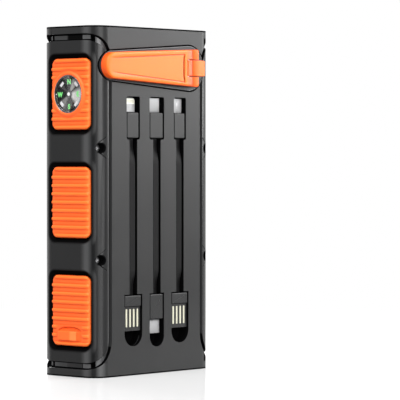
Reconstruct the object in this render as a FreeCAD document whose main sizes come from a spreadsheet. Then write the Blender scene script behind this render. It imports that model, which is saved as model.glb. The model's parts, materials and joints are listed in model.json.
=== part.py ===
import FreeCAD, Part
import Sketcher
import math
import os
import re

# Hand crank power bank: a deep front tub and a shallow back lid, rubber corner bumpers with ribbed
# side pads, a crank arm over a step-up gear train, three clip-in leads and a solar panel at the back.
# Row frame, millimetres: +Z up, crank and leads on the -Y face, solar panel on +Y,
# compass on -X, power button on +X, origin at the centre of the base.

os.makedirs("parts", exist_ok=True)
doc = FreeCAD.newDocument("hand_crank_charger")

driving_sizes = {
    # case
    "case_width": 80.0, "case_depth": 36.0, "case_height": 160.0, "corner_radius": 8.0,
    "skin": 2.0, "side_wall": 1.8, "face_wall": 3.4, "back_wall": 1.6, "end_wall": 2.6,
    "seam_y": 10.2, "seam_gap": 0.05, "cavity_round": 3.0, "seal_outer": 2.4, "seal_inner": 3.05,
    "seal_deep": 0.8,
    # bumper outline on the front and back faces
    "panel_edge": 29.6, "panel_edge_right": 30.9, "panel_arc": 14.0, "panel_end": 3.1,
    "bumper_edge": 31.5, "bumper_edge_right": 32.5, "bumper_arc": 12.1, "bumper_end": 6.1,
    # ribbed pads
    "pad_tall": 32.5, "pad_pitch": 49.4, "pad_middle": 79.6, "pad_near": 13.0, "pad_far": 10.4,
    "pad_round": 2.5, "pad_inset": 0.5, "rib_pitch": 3.8, "rib_tall": 1.3, "rib_count": 9,
    "window_gap": 0.25, "window_slope": 50.0, "port_cover_gap": 0.35,
    # corner screws
    "screw_x": 35.8, "screw_high": 104.4, "screw_low": 53.5, "screw_recess": 1.95, "screw_seat": 13.0,
    "screw_head": 1.8, "screw_head_tall": 1.4, "screw_shank": 1.0, "screw_tip": 13.5, "boss_radius": 2.6,
    "crease_x": 36.6, "crease_rise": 2.3, "crease_long": 4.6, "crease_wide": 0.35, "crease_deep": 0.3,
    "crease_turn": 36.0,
    # compass
    "compass_y": 0.0, "compass_z": 129.0, "compass_ring": 10.0, "ring_stand": 0.35, "lens_radius": 8.7,
    "cup_radius": 8.7, "cup_floor_x": 33.4, "cup_wall": 0.8, "card_radius": 7.5, "card_thick": 0.5,
    "card_x": 38.9, "pivot_radius": 0.45, "lens_thick": 0.4, "lens_x": 39.9,
    # power button
    "button_y": 0.0, "button_z": 134.8, "button_radius": 5.7, "button_gap": 0.3, "button_stand": 0.3,
    "button_travel": 0.5,
    # crank
    "crank_x": -29.5, "crank_z": 141.9, "nose_past": 1.7, "arm_narrow": 6.0, "arm_wide": 8.85,
    "arm_reach": 55.2, "arm_corner": 1.2, "arm_gap": 0.3, "arm_thick": 4.0,
    "seat_past": 0.25, "seat_narrow": 6.7, "seat_wide": 10.5, "seat_reach": 62.6, "seat_corner": 10.2,
    "seat_groove": 0.6,
    "rim_width": 1.9, "rim_depth": 0.3, "rim_reach": 45.0,
    "knob_axis": 49.0, "knob_tip": 59.9, "knob_tall": 7.4, "knob_thick": 3.4, "knob_gap": 0.3,
    "pin_radius": 0.8, "pin_play": 0.05,
    "shaft_radius": 2.4, "shaft_play": 0.05, "bush_radius": 3.6,
    # gear train
    "gear_module": 0.5, "crank_teeth": 22, "pinion_teeth": 10, "wheel_teeth": 36,
    "mesh_one_turn": 0.0, "mesh_two_turn": 10.0, "mesh_three_turn": -10.0,
    "gear_one_front": -12.8, "gear_one_wide": 2.0, "gear_two_front": -10.5, "gear_two_wide": 1.6,
    "gear_three_front": -8.6, "gear_three_wide": 1.6, "axle_radius": 0.8, "axle_play": 0.05,
    "axle_shoulder": 1.6, "gear_gap": 0.3, "plate_front": -6.7, "plate_thick": 1.4, "can_radius": 10.0,
    "can_deep": 12.0, "can_wall": 0.8,
    "rotor_radius": 4.6, "rotor_shaft": 0.9, "stator_inner": 5.2, "stator_outer": 8.6,
    # leads
    "lead_middle_x": 0.8, "lead_pitch": 16.0, "slot_deep": 6.0, "slot_top": 128.0, "slot_floor_wall": 1.2,
    "grip_bottom": 108.9, "grip_top": 120.9, "plug_top": 127.6, "grip_face": 0.3, "grip_thick": 5.2,
    "grip_gap": 0.35, "lower_slot_top": 37.2, "lower_grip_top": 36.8,
    "tongue_grip_bottom": 31.5, "tongue_bottom": 20.4, "tongue_face": 1.0, "tongue_thick": 2.1,
    "plug_centre": 15.05, "notch_wide_z": 19.3, "notch_slim_z": 17.2,
    "usbc_grip_bottom": 25.0, "usbc_plug_bottom": 18.5,
    "channel_wide": 5.2, "channel_deep": 4.5, "cable_wide": 4.6, "cable_thick": 2.2,
    "cable_end_y": -14.9, "cable_mid_y": -16.3, "cable_bend": 15.0, "cable_straight": 3.0,
    # solar panel and indicators
    "panel_half": 27.9, "panel_low": 9.7, "panel_high": 149.8, "panel_chamfer": 2.7,
    "panel_recess": 2.0, "panel_thick": 1.1, "panel_gap": 0.15,
    "light_z": 142.3, "light_first": -7.05, "light_pitch": -4.54, "icon_first": 14.1, "icon_second": 19.7,
    # inside
    "cell_low": 20.0, "cell_high": 118.0, "cell_left": -22.5, "cell_right": 32.8, "cell_thick": 7.95,
    "cell_gap": 0.1, "cell_round": 2.5, "board_y": 8.2, "board_thick": 1.2, "board_low": 5.0,
    "board_high": 125.7, "board_half": 34.6, "usba_z": 35.5, "usbc_z": 20.5,
}

sheet = doc.addObject("Spreadsheet::Sheet", "dims")
for row, (alias, value) in enumerate(driving_sizes.items(), start=1):
    sheet.set("A%d" % row, alias)
    sheet.set("B%d" % row, str(value))
    sheet.setAlias("B%d" % row, alias)
doc.recompute()


# ---------------------------------------------------------------- helpers on the document

def bound(text):
    # puts the sheet's name before each alias
    return re.sub(r"[A-Za-z_]\w*", lambda m: ("dims." if m.group(0) in driving_sizes else "") + m.group(0),
                  str(text))


def size(text):
    # the present value of an expression on the sheet
    result = sheet.evalExpression(str(text)) if not isinstance(text, (int, float)) else text
    return float(getattr(result, "Value", result))


def place(thing, x, y, z):
    for axis, text in zip("xyz", (x, y, z)):
        thing.setExpression(".Placement.Base." + axis, bound(text))


def box(name, x, y, z):
    # x, y and z are pairs of expressions, low and high
    thing = doc.addObject("Part::Box", name)
    for prop, (low, high) in zip(("Length", "Width", "Height"), (x, y, z)):
        thing.setExpression(prop, bound("(%s) - (%s)" % (high, low)))
    place(thing, x[0], y[0], z[0])
    return thing


turns = {"X": FreeCAD.Rotation(FreeCAD.Vector(0, 1, 0), 90),
         "Y": FreeCAD.Rotation(FreeCAD.Vector(1, 0, 0), -90),
         "Z": FreeCAD.Rotation()}


def rod(name, axis, x, y, z, radius, length):
    # a cylinder from the point x, y, z along the axis
    thing = doc.addObject("Part::Cylinder", name)
    thing.setExpression("Radius", bound(radius))
    thing.setExpression("Height", bound(length))
    thing.Placement = FreeCAD.Placement(FreeCAD.Vector(), turns[axis])
    place(thing, x, y, z)
    return thing


def cut(name, base, *tools):
    thing = doc.addObject("Part::Cut", name)
    thing.Base = base
    thing.Tool = tools[0] if len(tools) == 1 else fuse(name + "_tools", *tools)
    return thing


def fuse(name, *things):
    thing = doc.addObject("Part::MultiFuse", name)
    thing.Shapes = list(things)
    return thing


def common(name, *things):
    thing = doc.addObject("Part::MultiCommon", name)
    thing.Shapes = list(things)
    return thing


def new_sketch(body, name, plane, offset="0", origin=("0", "0")):
    sketch = body.newObject("Sketcher::SketchObject", name)
    support = [item for item in body.Origin.OriginFeatures if item.Role == plane][0]
    sketch.AttachmentSupport = [(support, "")]
    sketch.MapMode = "FlatFace"
    sketch.setExpression(".AttachmentOffset.Base.x", bound(origin[0]))
    sketch.setExpression(".AttachmentOffset.Base.y", bound(origin[1]))
    sketch.setExpression(".AttachmentOffset.Base.z", bound(offset))
    return sketch


def fix(sketch, name, kind, *terms):
    # a driving constraint whose value is the expression given last
    index = sketch.addConstraint(Sketcher.Constraint(kind, *terms[:-1], size(terms[-1])))
    sketch.renameConstraint(index, name)
    sketch.setExpression("Constraints." + name, bound(terms[-1]))


def rounded_outline(sketch, left, right, low, high, radius):
    # a rectangle with four equal round corners
    x0, x1, y0, y1, r = size(left), size(right), size(low), size(high), size(radius)
    vec = FreeCAD.Vector
    corners = [(vec(x0 + r, y0 + r), 180), (vec(x1 - r, y0 + r), 270), (vec(x1 - r, y1 - r), 0),
               (vec(x0 + r, y1 - r), 90)]
    arcs = []
    for centre, start in corners:
        circle = Part.Circle(centre, vec(0, 0, 1), r)
        arcs.append(sketch.addGeometry(Part.ArcOfCircle(circle, math.radians(start), math.radians(start + 90))))
    spans = [(vec(x0 + r, y0), vec(x1 - r, y0)), (vec(x1, y0 + r), vec(x1, y1 - r)),
             (vec(x1 - r, y1), vec(x0 + r, y1)), (vec(x0, y1 - r), vec(x0, y0 + r))]
    lines = [sketch.addGeometry(Part.LineSegment(a, b)) for a, b in spans]
    for k in range(4):
        sketch.addConstraint(Sketcher.Constraint("Tangent", arcs[k], 2, lines[k], 1))
        sketch.addConstraint(Sketcher.Constraint("Tangent", lines[k], 2, arcs[(k + 1) % 4], 1))
    sketch.addConstraint(Sketcher.Constraint("Horizontal", lines[0]))
    sketch.addConstraint(Sketcher.Constraint("Vertical", lines[1]))
    for k in range(1, 4):
        sketch.addConstraint(Sketcher.Constraint("Equal", arcs[0], arcs[k]))
    fix(sketch, "radius", "Radius", arcs[0], radius)
    fix(sketch, "low", "DistanceY", -1, 1, lines[0], 1, low)
    fix(sketch, "high", "DistanceY", -1, 1, lines[2], 1, high)
    fix(sketch, "right", "DistanceX", -1, 1, lines[1], 1, right)
    fix(sketch, "left", "DistanceX", -1, 1, lines[3], 1, left)


def circle_outline(sketch, radius):
    ring = sketch.addGeometry(Part.Circle(FreeCAD.Vector(), FreeCAD.Vector(0, 0, 1), size(radius)))
    sketch.addConstraint(Sketcher.Constraint("Coincident", ring, 3, -1, 1))
    fix(sketch, "radius", "Radius", ring, radius)


def pad(body, sketch, length, reverse=False):
    feature = body.newObject("PartDesign::Pad", sketch.Name + "_pad")
    feature.Profile = sketch
    feature.setExpression("Length", bound(length))
    feature.Reversed = reverse
    sketch.Visibility = False
    return feature


def rounded_block(name, along, first, second, span, radius):
    # a rounded rectangle, first by second, extruded over span along the axis X, Y or Z
    body = doc.addObject("PartDesign::Body", name)
    plane = {"X": "YZ_Plane", "Y": "XZ_Plane", "Z": "XY_Plane"}[along]
    low, high = span
    offset = "-(%s)" % low if along == "Y" else low
    sketch = new_sketch(body, name + "_sketch", plane, offset)
    rounded_outline(sketch, *first, *second, radius)
    pad(body, sketch, "(%s) - (%s)" % (high, low), reverse=(along == "Y"))
    return body


nodes = {}


def node(name, thing):
    thing.Label = name
    nodes[name] = thing
    return thing


# ---------------------------------------------------------------- case blanks

tub_y = ("-case_depth / 2 - 2", "seam_y - seam_gap")
lid_y = ("seam_y", "case_depth / 2 + 2")


def section_block(name, inset, z_low="0", z_high="case_height"):
    # the case's own cross-section, moved inwards by inset
    half_x = "(case_width / 2 - (%s))" % inset
    half_y = "(case_depth / 2 - (%s))" % inset
    return rounded_block(name, "Z", ("-" + half_x, half_x), ("-" + half_y, half_y), (z_low, z_high),
                         "corner_radius - (%s)" % inset)


def side_zone(name, side, edge, arc, end):
    # the stadium outline, seen from the front, in which the bumper or its groove lies
    inner, outer = "%s * (%s)" % (side, edge), "%s * (%s + 2 * %s)" % (side, edge, arc)
    first = (inner, outer) if side > 0 else (outer, inner)
    return rounded_block(name, "Y", first, (end, "case_height - " + end), ("-case_depth", "case_depth"),
                         "%s - 0.01" % arc)


def make_shell_blank():
    outer = section_block("case_outer", "0")
    core = section_block("case_core", "skin")
    zones = [side_zone("groove_zone_%d" % k, side, edge, "panel_arc", "panel_end")
             for k, (side, edge) in enumerate(((-1, "panel_edge"), (1, "panel_edge_right")))]
    grooves = cut("groove_rings", fuse("groove_zones", *zones), core)
    return cut("shell_blank", outer, grooves)


shell_blank = make_shell_blank()
cavity_y = ("-case_depth / 2 + face_wall", "case_depth / 2 - panel_recess - back_wall")
inner_half = "(case_width / 2 - skin - side_wall)"
cavity = rounded_block("case_cavity", "Z", ("-" + inner_half, inner_half), cavity_y,
                       ("end_wall", "case_height - end_wall"), "cavity_round")
screw_spots = [(side, z) for side in (-1, 1) for z in ("screw_high", "screw_low")]


def screw_bosses(name, span):
    posts = [rod("%s_post_%d" % (name, k), "Y", "%d * screw_x" % side, span[0], z, "boss_radius",
                 "(%s) - (%s)" % (span[1], span[0])) for k, (side, z) in enumerate(screw_spots)]
    return common(name, fuse(name + "_posts", *posts), section_block(name + "_limit", "skin + 0.4"))


# ---------------------------------------------------------------- lead slots

# name, x step, upper slot width, lower slot width, kind of lower plug
leads = [("left", -1, 8.8, 12.0, "tongue"), ("middle", 0, 9.9, 9.8, "usbc"), ("right", 1, 8.3, 12.0, "tongue")]
face_y = "-case_depth / 2"
floor_y = "(-case_depth / 2 + slot_deep)"


def lead_x(step):
    return "(lead_middle_x + %d * lead_pitch)" % step


def span_about(centre, width, grow="0"):
    return ("%s - (%s) / 2 - (%s)" % (centre, width, grow), "%s + (%s) / 2 + (%s)" % (centre, width, grow))


def slot_tools(name, step, top_wide, low_wide, kind):
    centre = lead_x(step)
    notch = "notch_wide_z" if kind == "tongue" else "notch_slim_z"
    deep = (face_y + " - 1", floor_y)
    upper = rounded_block(name + "_upper", "Y", span_about(centre, top_wide), ("grip_bottom - 0.6", "slot_top"),
                          deep, "1")
    lower = box(name + "_lower", span_about(centre, low_wide), deep, (notch, "lower_slot_top"))
    scoop = rod(name + "_scoop", "Y", centre, face_y + " - 1", notch, "%s / 2" % low_wide, "slot_deep + 1")
    channel = box(name + "_channel", span_about(centre, "channel_wide"),
                  (face_y + " - 1", face_y + " + channel_deep"), ("lower_slot_top - 2", "grip_bottom + 1"))
    return [upper, lower, scoop, channel]


def slot_walls(name, step, top_wide, low_wide, kind):
    centre = lead_x(step)
    notch = "notch_wide_z" if kind == "tongue" else "notch_slim_z"
    wall = "slot_floor_wall"
    deep = (face_y + " + face_wall / 2", floor_y + " + " + wall)
    upper = box(name + "_upper_wall", span_about(centre, top_wide, wall), deep,
                ("grip_bottom - 0.6 - " + wall, "slot_top + " + wall))
    lower = box(name + "_lower_wall", span_about(centre, low_wide, wall), deep,
                ("%s - %s / 2 - %s" % (notch, low_wide, wall), "lower_slot_top + " + wall))
    channel = box(name + "_channel_wall", span_about(centre, "channel_wide", wall),
                  (face_y + " + face_wall / 2", face_y + " + channel_deep + " + wall),
                  ("lower_slot_top", "grip_bottom"))
    return [upper, lower, channel]


# ---------------------------------------------------------------- crank outline

def arm_outline(sketch, narrow, wide, reach, corner):
    # a teardrop: a round end about the sketch's origin, widening to a square end with round corners
    n, w, far, r = size(narrow), size(wide), size(reach), size(corner)
    vec = FreeCAD.Vector
    up = vec(0, 0, 1)
    slope = math.atan2(w - n, far - r)
    nose = sketch.addGeometry(Part.ArcOfCircle(Part.Circle(vec(), up, n), math.pi / 2 + slope,
                                               3 * math.pi / 2 - slope))
    high = sketch.addGeometry(Part.ArcOfCircle(Part.Circle(vec(far - r, w - r), up, r), 0, math.pi / 2 + slope))
    low = sketch.addGeometry(Part.ArcOfCircle(Part.Circle(vec(far - r, r - w), up, r),
                                              3 * math.pi / 2 - slope, 2 * math.pi))
    top = sketch.addGeometry(Part.LineSegment(vec(far - r, w), vec(0, n)))
    bottom = sketch.addGeometry(Part.LineSegment(vec(0, -n), vec(far - r, -w)))
    end = sketch.addGeometry(Part.LineSegment(vec(far, r - w), vec(far, w - r)))
    for first, p, second, q in ((high, 2, top, 1), (top, 2, nose, 1), (nose, 2, bottom, 1), (bottom, 2, low, 1),
                                (low, 2, end, 1), (end, 2, high, 1)):
        sketch.addConstraint(Sketcher.Constraint("Tangent", first, p, second, q))
    sketch.addConstraint(Sketcher.Constraint("Coincident", nose, 3, -1, 1))
    fix(sketch, "narrow", "Radius", nose, narrow)
    fix(sketch, "corner", "Radius", high, corner)
    sketch.addConstraint(Sketcher.Constraint("Equal", high, low))
    fix(sketch, "reach", "DistanceX", -1, 1, end, 1, reach)
    fix(sketch, "wide_high", "DistanceY", -1, 1, high, 3, "(%s) - (%s)" % (wide, corner))
    fix(sketch, "wide_low", "DistanceY", -1, 1, low, 3, "(%s) - (%s)" % (corner, wide))


def arm_block(name, grow, narrow, wide, reach, corner, span, past="nose_past"):
    # a teardrop prism, grown by an even margin; its round end's centre lies a little beyond the crank's axis
    body = doc.addObject("PartDesign::Body", name)
    sketch = new_sketch(body, name + "_sketch", "XZ_Plane", "-(%s)" % span[0],
                        ("crank_x - " + past, "crank_z"))
    arm_outline(sketch, "%s + (%s)" % (narrow, grow), "%s + (%s)" % (wide, grow),
                "%s + %s + (%s)" % (reach, past, grow), "%s + (%s)" % (corner, grow))
    pad(body, sketch, "(%s) - (%s)" % (span[1], span[0]), reverse=True)
    return body


# ---------------------------------------------------------------- gears

def mesh_point(start, turn, first, second):
    # the next axle's x and z, one centre distance away from the last one
    reach = "(gear_module * (%s + %s) / 2)" % (first, second)
    return ("(%s + %s * cos(%s * 1 deg))" % (start[0], reach, turn),
            "(%s + %s * sin(%s * 1 deg))" % (start[1], reach, turn))


axle_one = mesh_point(("crank_x", "crank_z"), "mesh_one_turn", "crank_teeth", "pinion_teeth")
axle_two = mesh_point(axle_one, "mesh_two_turn", "wheel_teeth", "pinion_teeth")
rotor_axis = mesh_point(axle_two, "mesh_three_turn", "wheel_teeth", "pinion_teeth")


def add_wheel(body, name, centre, teeth, front, wide, phase):
    # a toothed disc: a plain disc, one tooth gap, and that gap repeated all the way round
    disc = new_sketch(body, name + "_disc", "XZ_Plane", "-(%s)" % front, centre)
    circle_outline(disc, "gear_module * (%s / 2 + 0.85)" % teeth)
    pad(body, disc, wide, reverse=True)
    gap = new_sketch(body, name + "_gap", "XZ_Plane", "-(%s)" % front, centre)
    count, module = size(teeth), size("gear_module")
    pitch, tip, root = module * count / 2, module * (count / 2 + 1.3), module * (count / 2 - 1.15)
    half = math.pi / count / 2 * 1.24
    lean = 0.36 * module
    points = []
    for radius, across in ((root, half * pitch - lean * 1.15), (tip, half * pitch + lean * 1.3)):
        for sign in (-1, 1):
            side = sign * across
            turn = math.radians(phase)
            points.append(FreeCAD.Vector(radius * math.cos(turn) - side * math.sin(turn),
                                         radius * math.sin(turn) + side * math.cos(turn), 0))
    order = [points[0], points[1], points[3], points[2]]
    edges = [gap.addGeometry(Part.LineSegment(order[k], order[(k + 1) % 4])) for k in range(4)]
    for k in range(4):
        gap.addConstraint(Sketcher.Constraint("Coincident", edges[k], 2, edges[(k + 1) % 4], 1))
        gap.addConstraint(Sketcher.Constraint("Block", edges[k]))
    pocket = body.newObject("PartDesign::Pocket", name + "_pocket")
    pocket.Profile = gap
    pocket.setExpression("Length", bound(wide))
    pocket.Reversed = False
    ring = body.newObject("PartDesign::PolarPattern", name + "_ring")
    ring.Originals = [pocket]
    ring.Axis = (gap, ["N_Axis"])
    ring.Angle = 360
    ring.setExpression("Occurrences", bound(teeth))
    body.Tip = ring
    doc.recompute()
    return ring


def gear_body(name, *wheels):
    body = doc.addObject("PartDesign::Body", name)
    for k, wheel in enumerate(wheels):
        add_wheel(body, "%s_%d" % (name, k), *wheel)
    return body


# ---------------------------------------------------------------- front shell

def seat_block(name, grow, span):
    # the raised seat below the crank, and the groove round it when it is grown
    return arm_block(name, grow, "seat_narrow", "seat_wide", "seat_reach", "seat_corner", span, "seat_past")


plate_posts = [("12", "133.5"), ("12", "154"), ("-30.5", "154.5")]
bore = "axle_radius + axle_play"


def make_front_shell():
    half = common("tub_blank", shell_blank, box("tub_half", ("-60", "60"), tub_y, ("-5", "case_height + 5")))
    hollow = cut("tub_hollow", half, cavity)
    inside = []
    for lead in leads:
        inside += slot_walls("tub_" + lead[0], *lead[1:])
    inside.append(screw_bosses("tub_bosses", ("-case_depth / 2 + face_wall / 2", "seam_y - seam_gap")))
    for k, (x, z) in enumerate(plate_posts):
        inside.append(rod("plate_post_%d" % k, "Y", x, "-case_depth / 2 + face_wall / 2", z, "2",
                          "plate_front + case_depth / 2 - face_wall / 2"))
    for k, (y, z) in enumerate((y, z) for y in ("-4.5", "4.5") for z in ("127", "143")):
        inside.append(box("switch_post_%d" % k, ("31", "case_width / 2 - skin - 0.5"),
                          ("%s - 1.2" % y, "%s + 1.2" % y), ("%s - 1.2" % z, "%s + 1.2" % z)))
    seat = seat_block("crank_seat", "0", (face_y, face_y + " + face_wall"))
    solid = fuse("tub_solid", hollow, seat, *inside)
    tools = []
    for lead in leads:
        tools += slot_tools("slot_" + lead[0], *lead[1:])
    ring_outer = seat_block("seat_ring_outer", "seat_groove", (face_y + " - 1", face_y + " + 0.6"))
    ring_inner = seat_block("seat_ring_inner", "0", (face_y + " - 2", face_y + " + 2"))
    tools.append(cut("seat_ring", ring_outer, ring_inner))
    tools.append(rod("bush_hole", "Y", "crank_x", face_y + " - 1", "crank_z", "bush_radius", "6"))
    tools += [rod("axle_hole_%d" % k, "Y", x, "-case_depth / 2 + face_wall - 0.6", z, "axle_radius", "2")
              for k, (x, z) in enumerate((axle_one, axle_two))]
    tools += [rod("plate_hole_%d" % k, "Y", x, "plate_front - 5.5", z, "0.8", "6")
              for k, (x, z) in enumerate(plate_posts)]
    for k, (side, z) in enumerate(screw_spots):
        tools.append(rod("recess_%d" % k, "Y", "%d * screw_x" % side, face_y + " - 1", z, "screw_recess",
                         "case_depth / 2 - screw_seat + 1"))
        tools.append(rod("screw_hole_%d" % k, "Y", "%d * screw_x" % side, "-screw_seat - 1", z,
                         "screw_shank + 0.1", "40"))
    tools.append(rod("cup_hole", "X", "-case_width / 2 - 1", "compass_y", "compass_z", "cup_radius + 0.1", "6"))
    tools.append(rod("stem_hole", "X", "34", "button_y", "button_z", "2.4 + button_gap", "6"))
    tools.append(box("usba_hole", ("-45", "-35"), ("1.4", "8.4"), ("usba_z - 6.8", "usba_z + 6.8")))
    tools.append(box("usbc_hole", ("-45", "-35"), ("4.8", "8.4"), ("usbc_z - 4.7", "usbc_z + 4.7")))
    tools.append(seal_ring("seal_groove"))
    return node("front_shell", cut("front_shell_part", solid, *tools))


def seal_ring(name):
    # a thin ring in the seam, seal_outer to seal_inner in from the case's sides
    blocks = []
    for label, inset, margin in (("outer", "seal_outer", "0"), ("inner", "seal_inner", "1")):
        half = "(case_width / 2 - %s)" % inset
        blocks.append(rounded_block("%s_%s" % (name, label), "Y", ("-" + half, half),
                                    (inset, "case_height - " + inset),
                                    ("seam_y - seal_deep - " + margin, "seam_y + " + margin), "7 - " + inset))
    return cut(name, *blocks)


make_front_shell()
node("case_seal", seal_ring("case_seal_part"))


# ---------------------------------------------------------------- back shell and solar panel

def chamfered_block(name, grow, span):
    # the solar window: a tall rectangle with its corners cut at 45 degrees
    body = doc.addObject("PartDesign::Body", name)
    sketch = new_sketch(body, name + "_sketch", "XZ_Plane", "-(%s)" % span[0])
    half, low, high = "(panel_half + %s)" % grow, "(panel_low - %s)" % grow, "(panel_high + %s)" % grow
    h, z0, z1, c = size(half), size(low), size(high), size("panel_chamfer")
    corners = [(-h + c, z0), (h - c, z0), (h, z0 + c), (h, z1 - c), (h - c, z1), (-h + c, z1), (-h, z1 - c),
               (-h, z0 + c)]
    points = [FreeCAD.Vector(x, z, 0) for x, z in corners]
    lines = [sketch.addGeometry(Part.LineSegment(points[k], points[(k + 1) % 8])) for k in range(8)]
    for k in range(8):
        sketch.addConstraint(Sketcher.Constraint("Coincident", lines[k], 2, lines[(k + 1) % 8], 1))
    for k in (0, 4):
        sketch.addConstraint(Sketcher.Constraint("Horizontal", lines[k]))
        sketch.addConstraint(Sketcher.Constraint("Vertical", lines[k + 2]))
    fix(sketch, "low", "DistanceY", -1, 1, lines[0], 1, low)
    fix(sketch, "high", "DistanceY", -1, 1, lines[4], 1, high)
    fix(sketch, "right", "DistanceX", -1, 1, lines[2], 1, half)
    fix(sketch, "left", "DistanceX", -1, 1, lines[6], 1, "-" + half)
    fix(sketch, "low_right_x", "DistanceX", lines[1], 1, lines[1], 2, "panel_chamfer")
    fix(sketch, "low_right_z", "DistanceY", lines[1], 1, lines[1], 2, "panel_chamfer")
    fix(sketch, "high_right_x", "DistanceX", lines[3], 2, lines[3], 1, "panel_chamfer")
    fix(sketch, "high_right_z", "DistanceY", lines[3], 1, lines[3], 2, "panel_chamfer")
    fix(sketch, "high_left_x", "DistanceX", lines[5], 2, lines[5], 1, "panel_chamfer")
    fix(sketch, "high_left_z", "DistanceY", lines[5], 2, lines[5], 1, "panel_chamfer")
    fix(sketch, "low_left_x", "DistanceX", lines[7], 1, lines[7], 2, "panel_chamfer")
    fix(sketch, "low_left_z", "DistanceY", lines[7], 2, lines[7], 1, "panel_chamfer")
    pad(body, sketch, "(%s) - (%s)" % (span[1], span[0]), reverse=True)
    return body


light_spots = [("light_first + %d * light_pitch" % k, "%.2f" % (0.5 + 0.1 * k)) for k in range(4)]
light_spots += [("icon_first", "1.45"), ("icon_second", "1.45")]
recess_y = "(case_depth / 2 - panel_recess)"
board_posts = [(x, z) for x in ("-31", "31") for z in ("9", "123.5")]


def light_rods(name, low, high, grow):
    return [rod("%s_%d" % (name, k), "Y", x, low, "light_z", "%s + %s" % (radius, grow),
                "(%s) - (%s)" % (high, low)) for k, (x, radius) in enumerate(light_spots)]


def make_back_shell():
    half = common("lid_blank", shell_blank, box("lid_half", ("-60", "60"), lid_y, ("-5", "case_height + 5")))
    hollow = cut("lid_hollow", half, cavity)
    posts = [rod("board_post_%d" % k, "Y", x, "board_y + board_thick", z, "2.4",
                 "15 - board_y - board_thick") for k, (x, z) in enumerate(board_posts)]
    bosses = screw_bosses("lid_bosses", ("seam_y", "case_depth / 2 - 1.2"))
    solid = fuse("lid_solid", hollow, bosses, *posts)
    tools = [chamfered_block("panel_recess_tool", "0", (recess_y, "case_depth / 2 + 3"))]
    tools += light_rods("light_hole", "12", "17", "0.05")
    tools += [rod("lid_screw_hole_%d" % k, "Y", "%d * screw_x" % side, "5", z, "screw_shank", "screw_tip - 5")
              for k, (side, z) in enumerate(screw_spots)]
    tools += [rod("board_hole_%d" % k, "Y", x, "board_y", z, "0.8", "4.6")
              for k, (x, z) in enumerate(board_posts)]
    return node("back_shell", cut("back_shell_part", solid, *tools))


make_back_shell()
panel_blank = chamfered_block("panel_blank", "-panel_gap", (recess_y, recess_y + " + panel_thick"))
node("solar_panel", cut("solar_panel_part", panel_blank, *light_rods("panel_hole", "14", "20", "0.05")))
lens_rods = light_rods("indicator_rod", recess_y + " - back_wall", recess_y + " + panel_thick + 0.05", "0")
node("indicator_lenses", fuse("indicator_lenses_part", *lens_rods))
node("indicator_board", box("indicator_board_part", ("-24", "24"), (recess_y + " - back_wall - 1", recess_y +
                            " - back_wall"), ("light_z - 3.5", "light_z + 3.5")))


# ---------------------------------------------------------------- bumpers and pads

side_skin = cut("side_skin", section_block("side_skin_outer", "0"), section_block("side_skin_core", "skin"))
pad_skin = cut("pad_skin", section_block("pad_skin_outer", "pad_inset"), section_block("pad_skin_core", "skin"))
cover_skin = cut("cover_skin", section_block("cover_skin_outer", "pad_inset"),
                 section_block("cover_skin_core", "skin - port_cover_gap"))
pad_levels = {"lower": "(pad_middle - pad_pitch)", "middle": "(pad_middle)",
              "upper": "(pad_middle + pad_pitch)"}


def pad_reach(side, grow="0"):
    near, far = "(pad_near + %s)" % grow, "(pad_far + %s)" % grow
    return ("-" + near, far) if side < 0 else ("-" + far, near)


def pad_heights(level, grow="0"):
    return ("%s - pad_tall / 2 - %s" % (level, grow), "%s + pad_tall / 2 + %s" % (level, grow))


def outward(side, inner, outer):
    return (inner, outer) if side > 0 else ("-(%s)" % outer, "-(%s)" % inner)


def window_tool(name, side, level):
    # a straight opening under the pad, then a slope that widens to the bumper's surface
    first, second = pad_reach(side, "window_gap"), pad_heights(level, "window_gap")
    straight = rounded_block(name + "_straight", "X", first, second,
                             outward(side, "33", "case_width / 2 - skin + 0.3"), "pad_round + window_gap")
    body = doc.addObject("PartDesign::Body", name + "_slope")
    sketch = new_sketch(body, name + "_slope_sketch", "YZ_Plane", "%d * (case_width / 2 - skin + 0.3)" % side)
    rounded_outline(sketch, *first, *second, "pad_round + window_gap")
    slope = pad(body, sketch, "skin + 1", reverse=(side < 0))
    slope.setExpression("TaperAngle", bound("window_slope"))
    return fuse(name, straight, body)


def crease_grooves(name, side):
    # two shallow grooves that fan out from each screw towards the front panel
    bars = []
    for k, z in enumerate(("screw_high", "screw_low")):
        for way in (-1, 1):
            bar = box("%s_bar_%d_%d" % (name, k, way + 1), ("0", "crease_long"), (face_y + " - 1", "-10"),
                      ("0", "crease_wide"))
            turn = -way * size("crease_turn") if side < 0 else 180 + way * size("crease_turn")
            bar.Placement = FreeCAD.Placement(FreeCAD.Vector(),
                                              FreeCAD.Rotation(FreeCAD.Vector(0, 1, 0), turn))
            place(bar, "%d * crease_x" % side, face_y + " - 1", "%s + %d * crease_rise" % (z, way))
            bars.append(bar)
    return cut(name, fuse(name + "_bars", *bars), section_block(name + "_core", "crease_deep"))


def make_bumper(name, side, edge):
    blank = common(name + "_blank", side_skin, side_zone(name + "_zone", side, edge, "bumper_arc",
                                                         "bumper_end"))
    tools = [window_tool("%s_window_%s" % (name, key), side, level) for key, level in pad_levels.items()]
    tools += [rod("%s_recess_%d" % (name, k), "Y", "%d * screw_x" % side, face_y + " - 1", z, "screw_recess",
                  "9") for k, z in enumerate(("screw_high", "screw_low"))]
    tools.append(seat_block(name + "_seat_cut", "seat_groove", (face_y + " - 1", "-10")))
    tools.append(crease_grooves(name + "_creases", side))
    return node(name, cut(name + "_part", blank, *tools))


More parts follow.
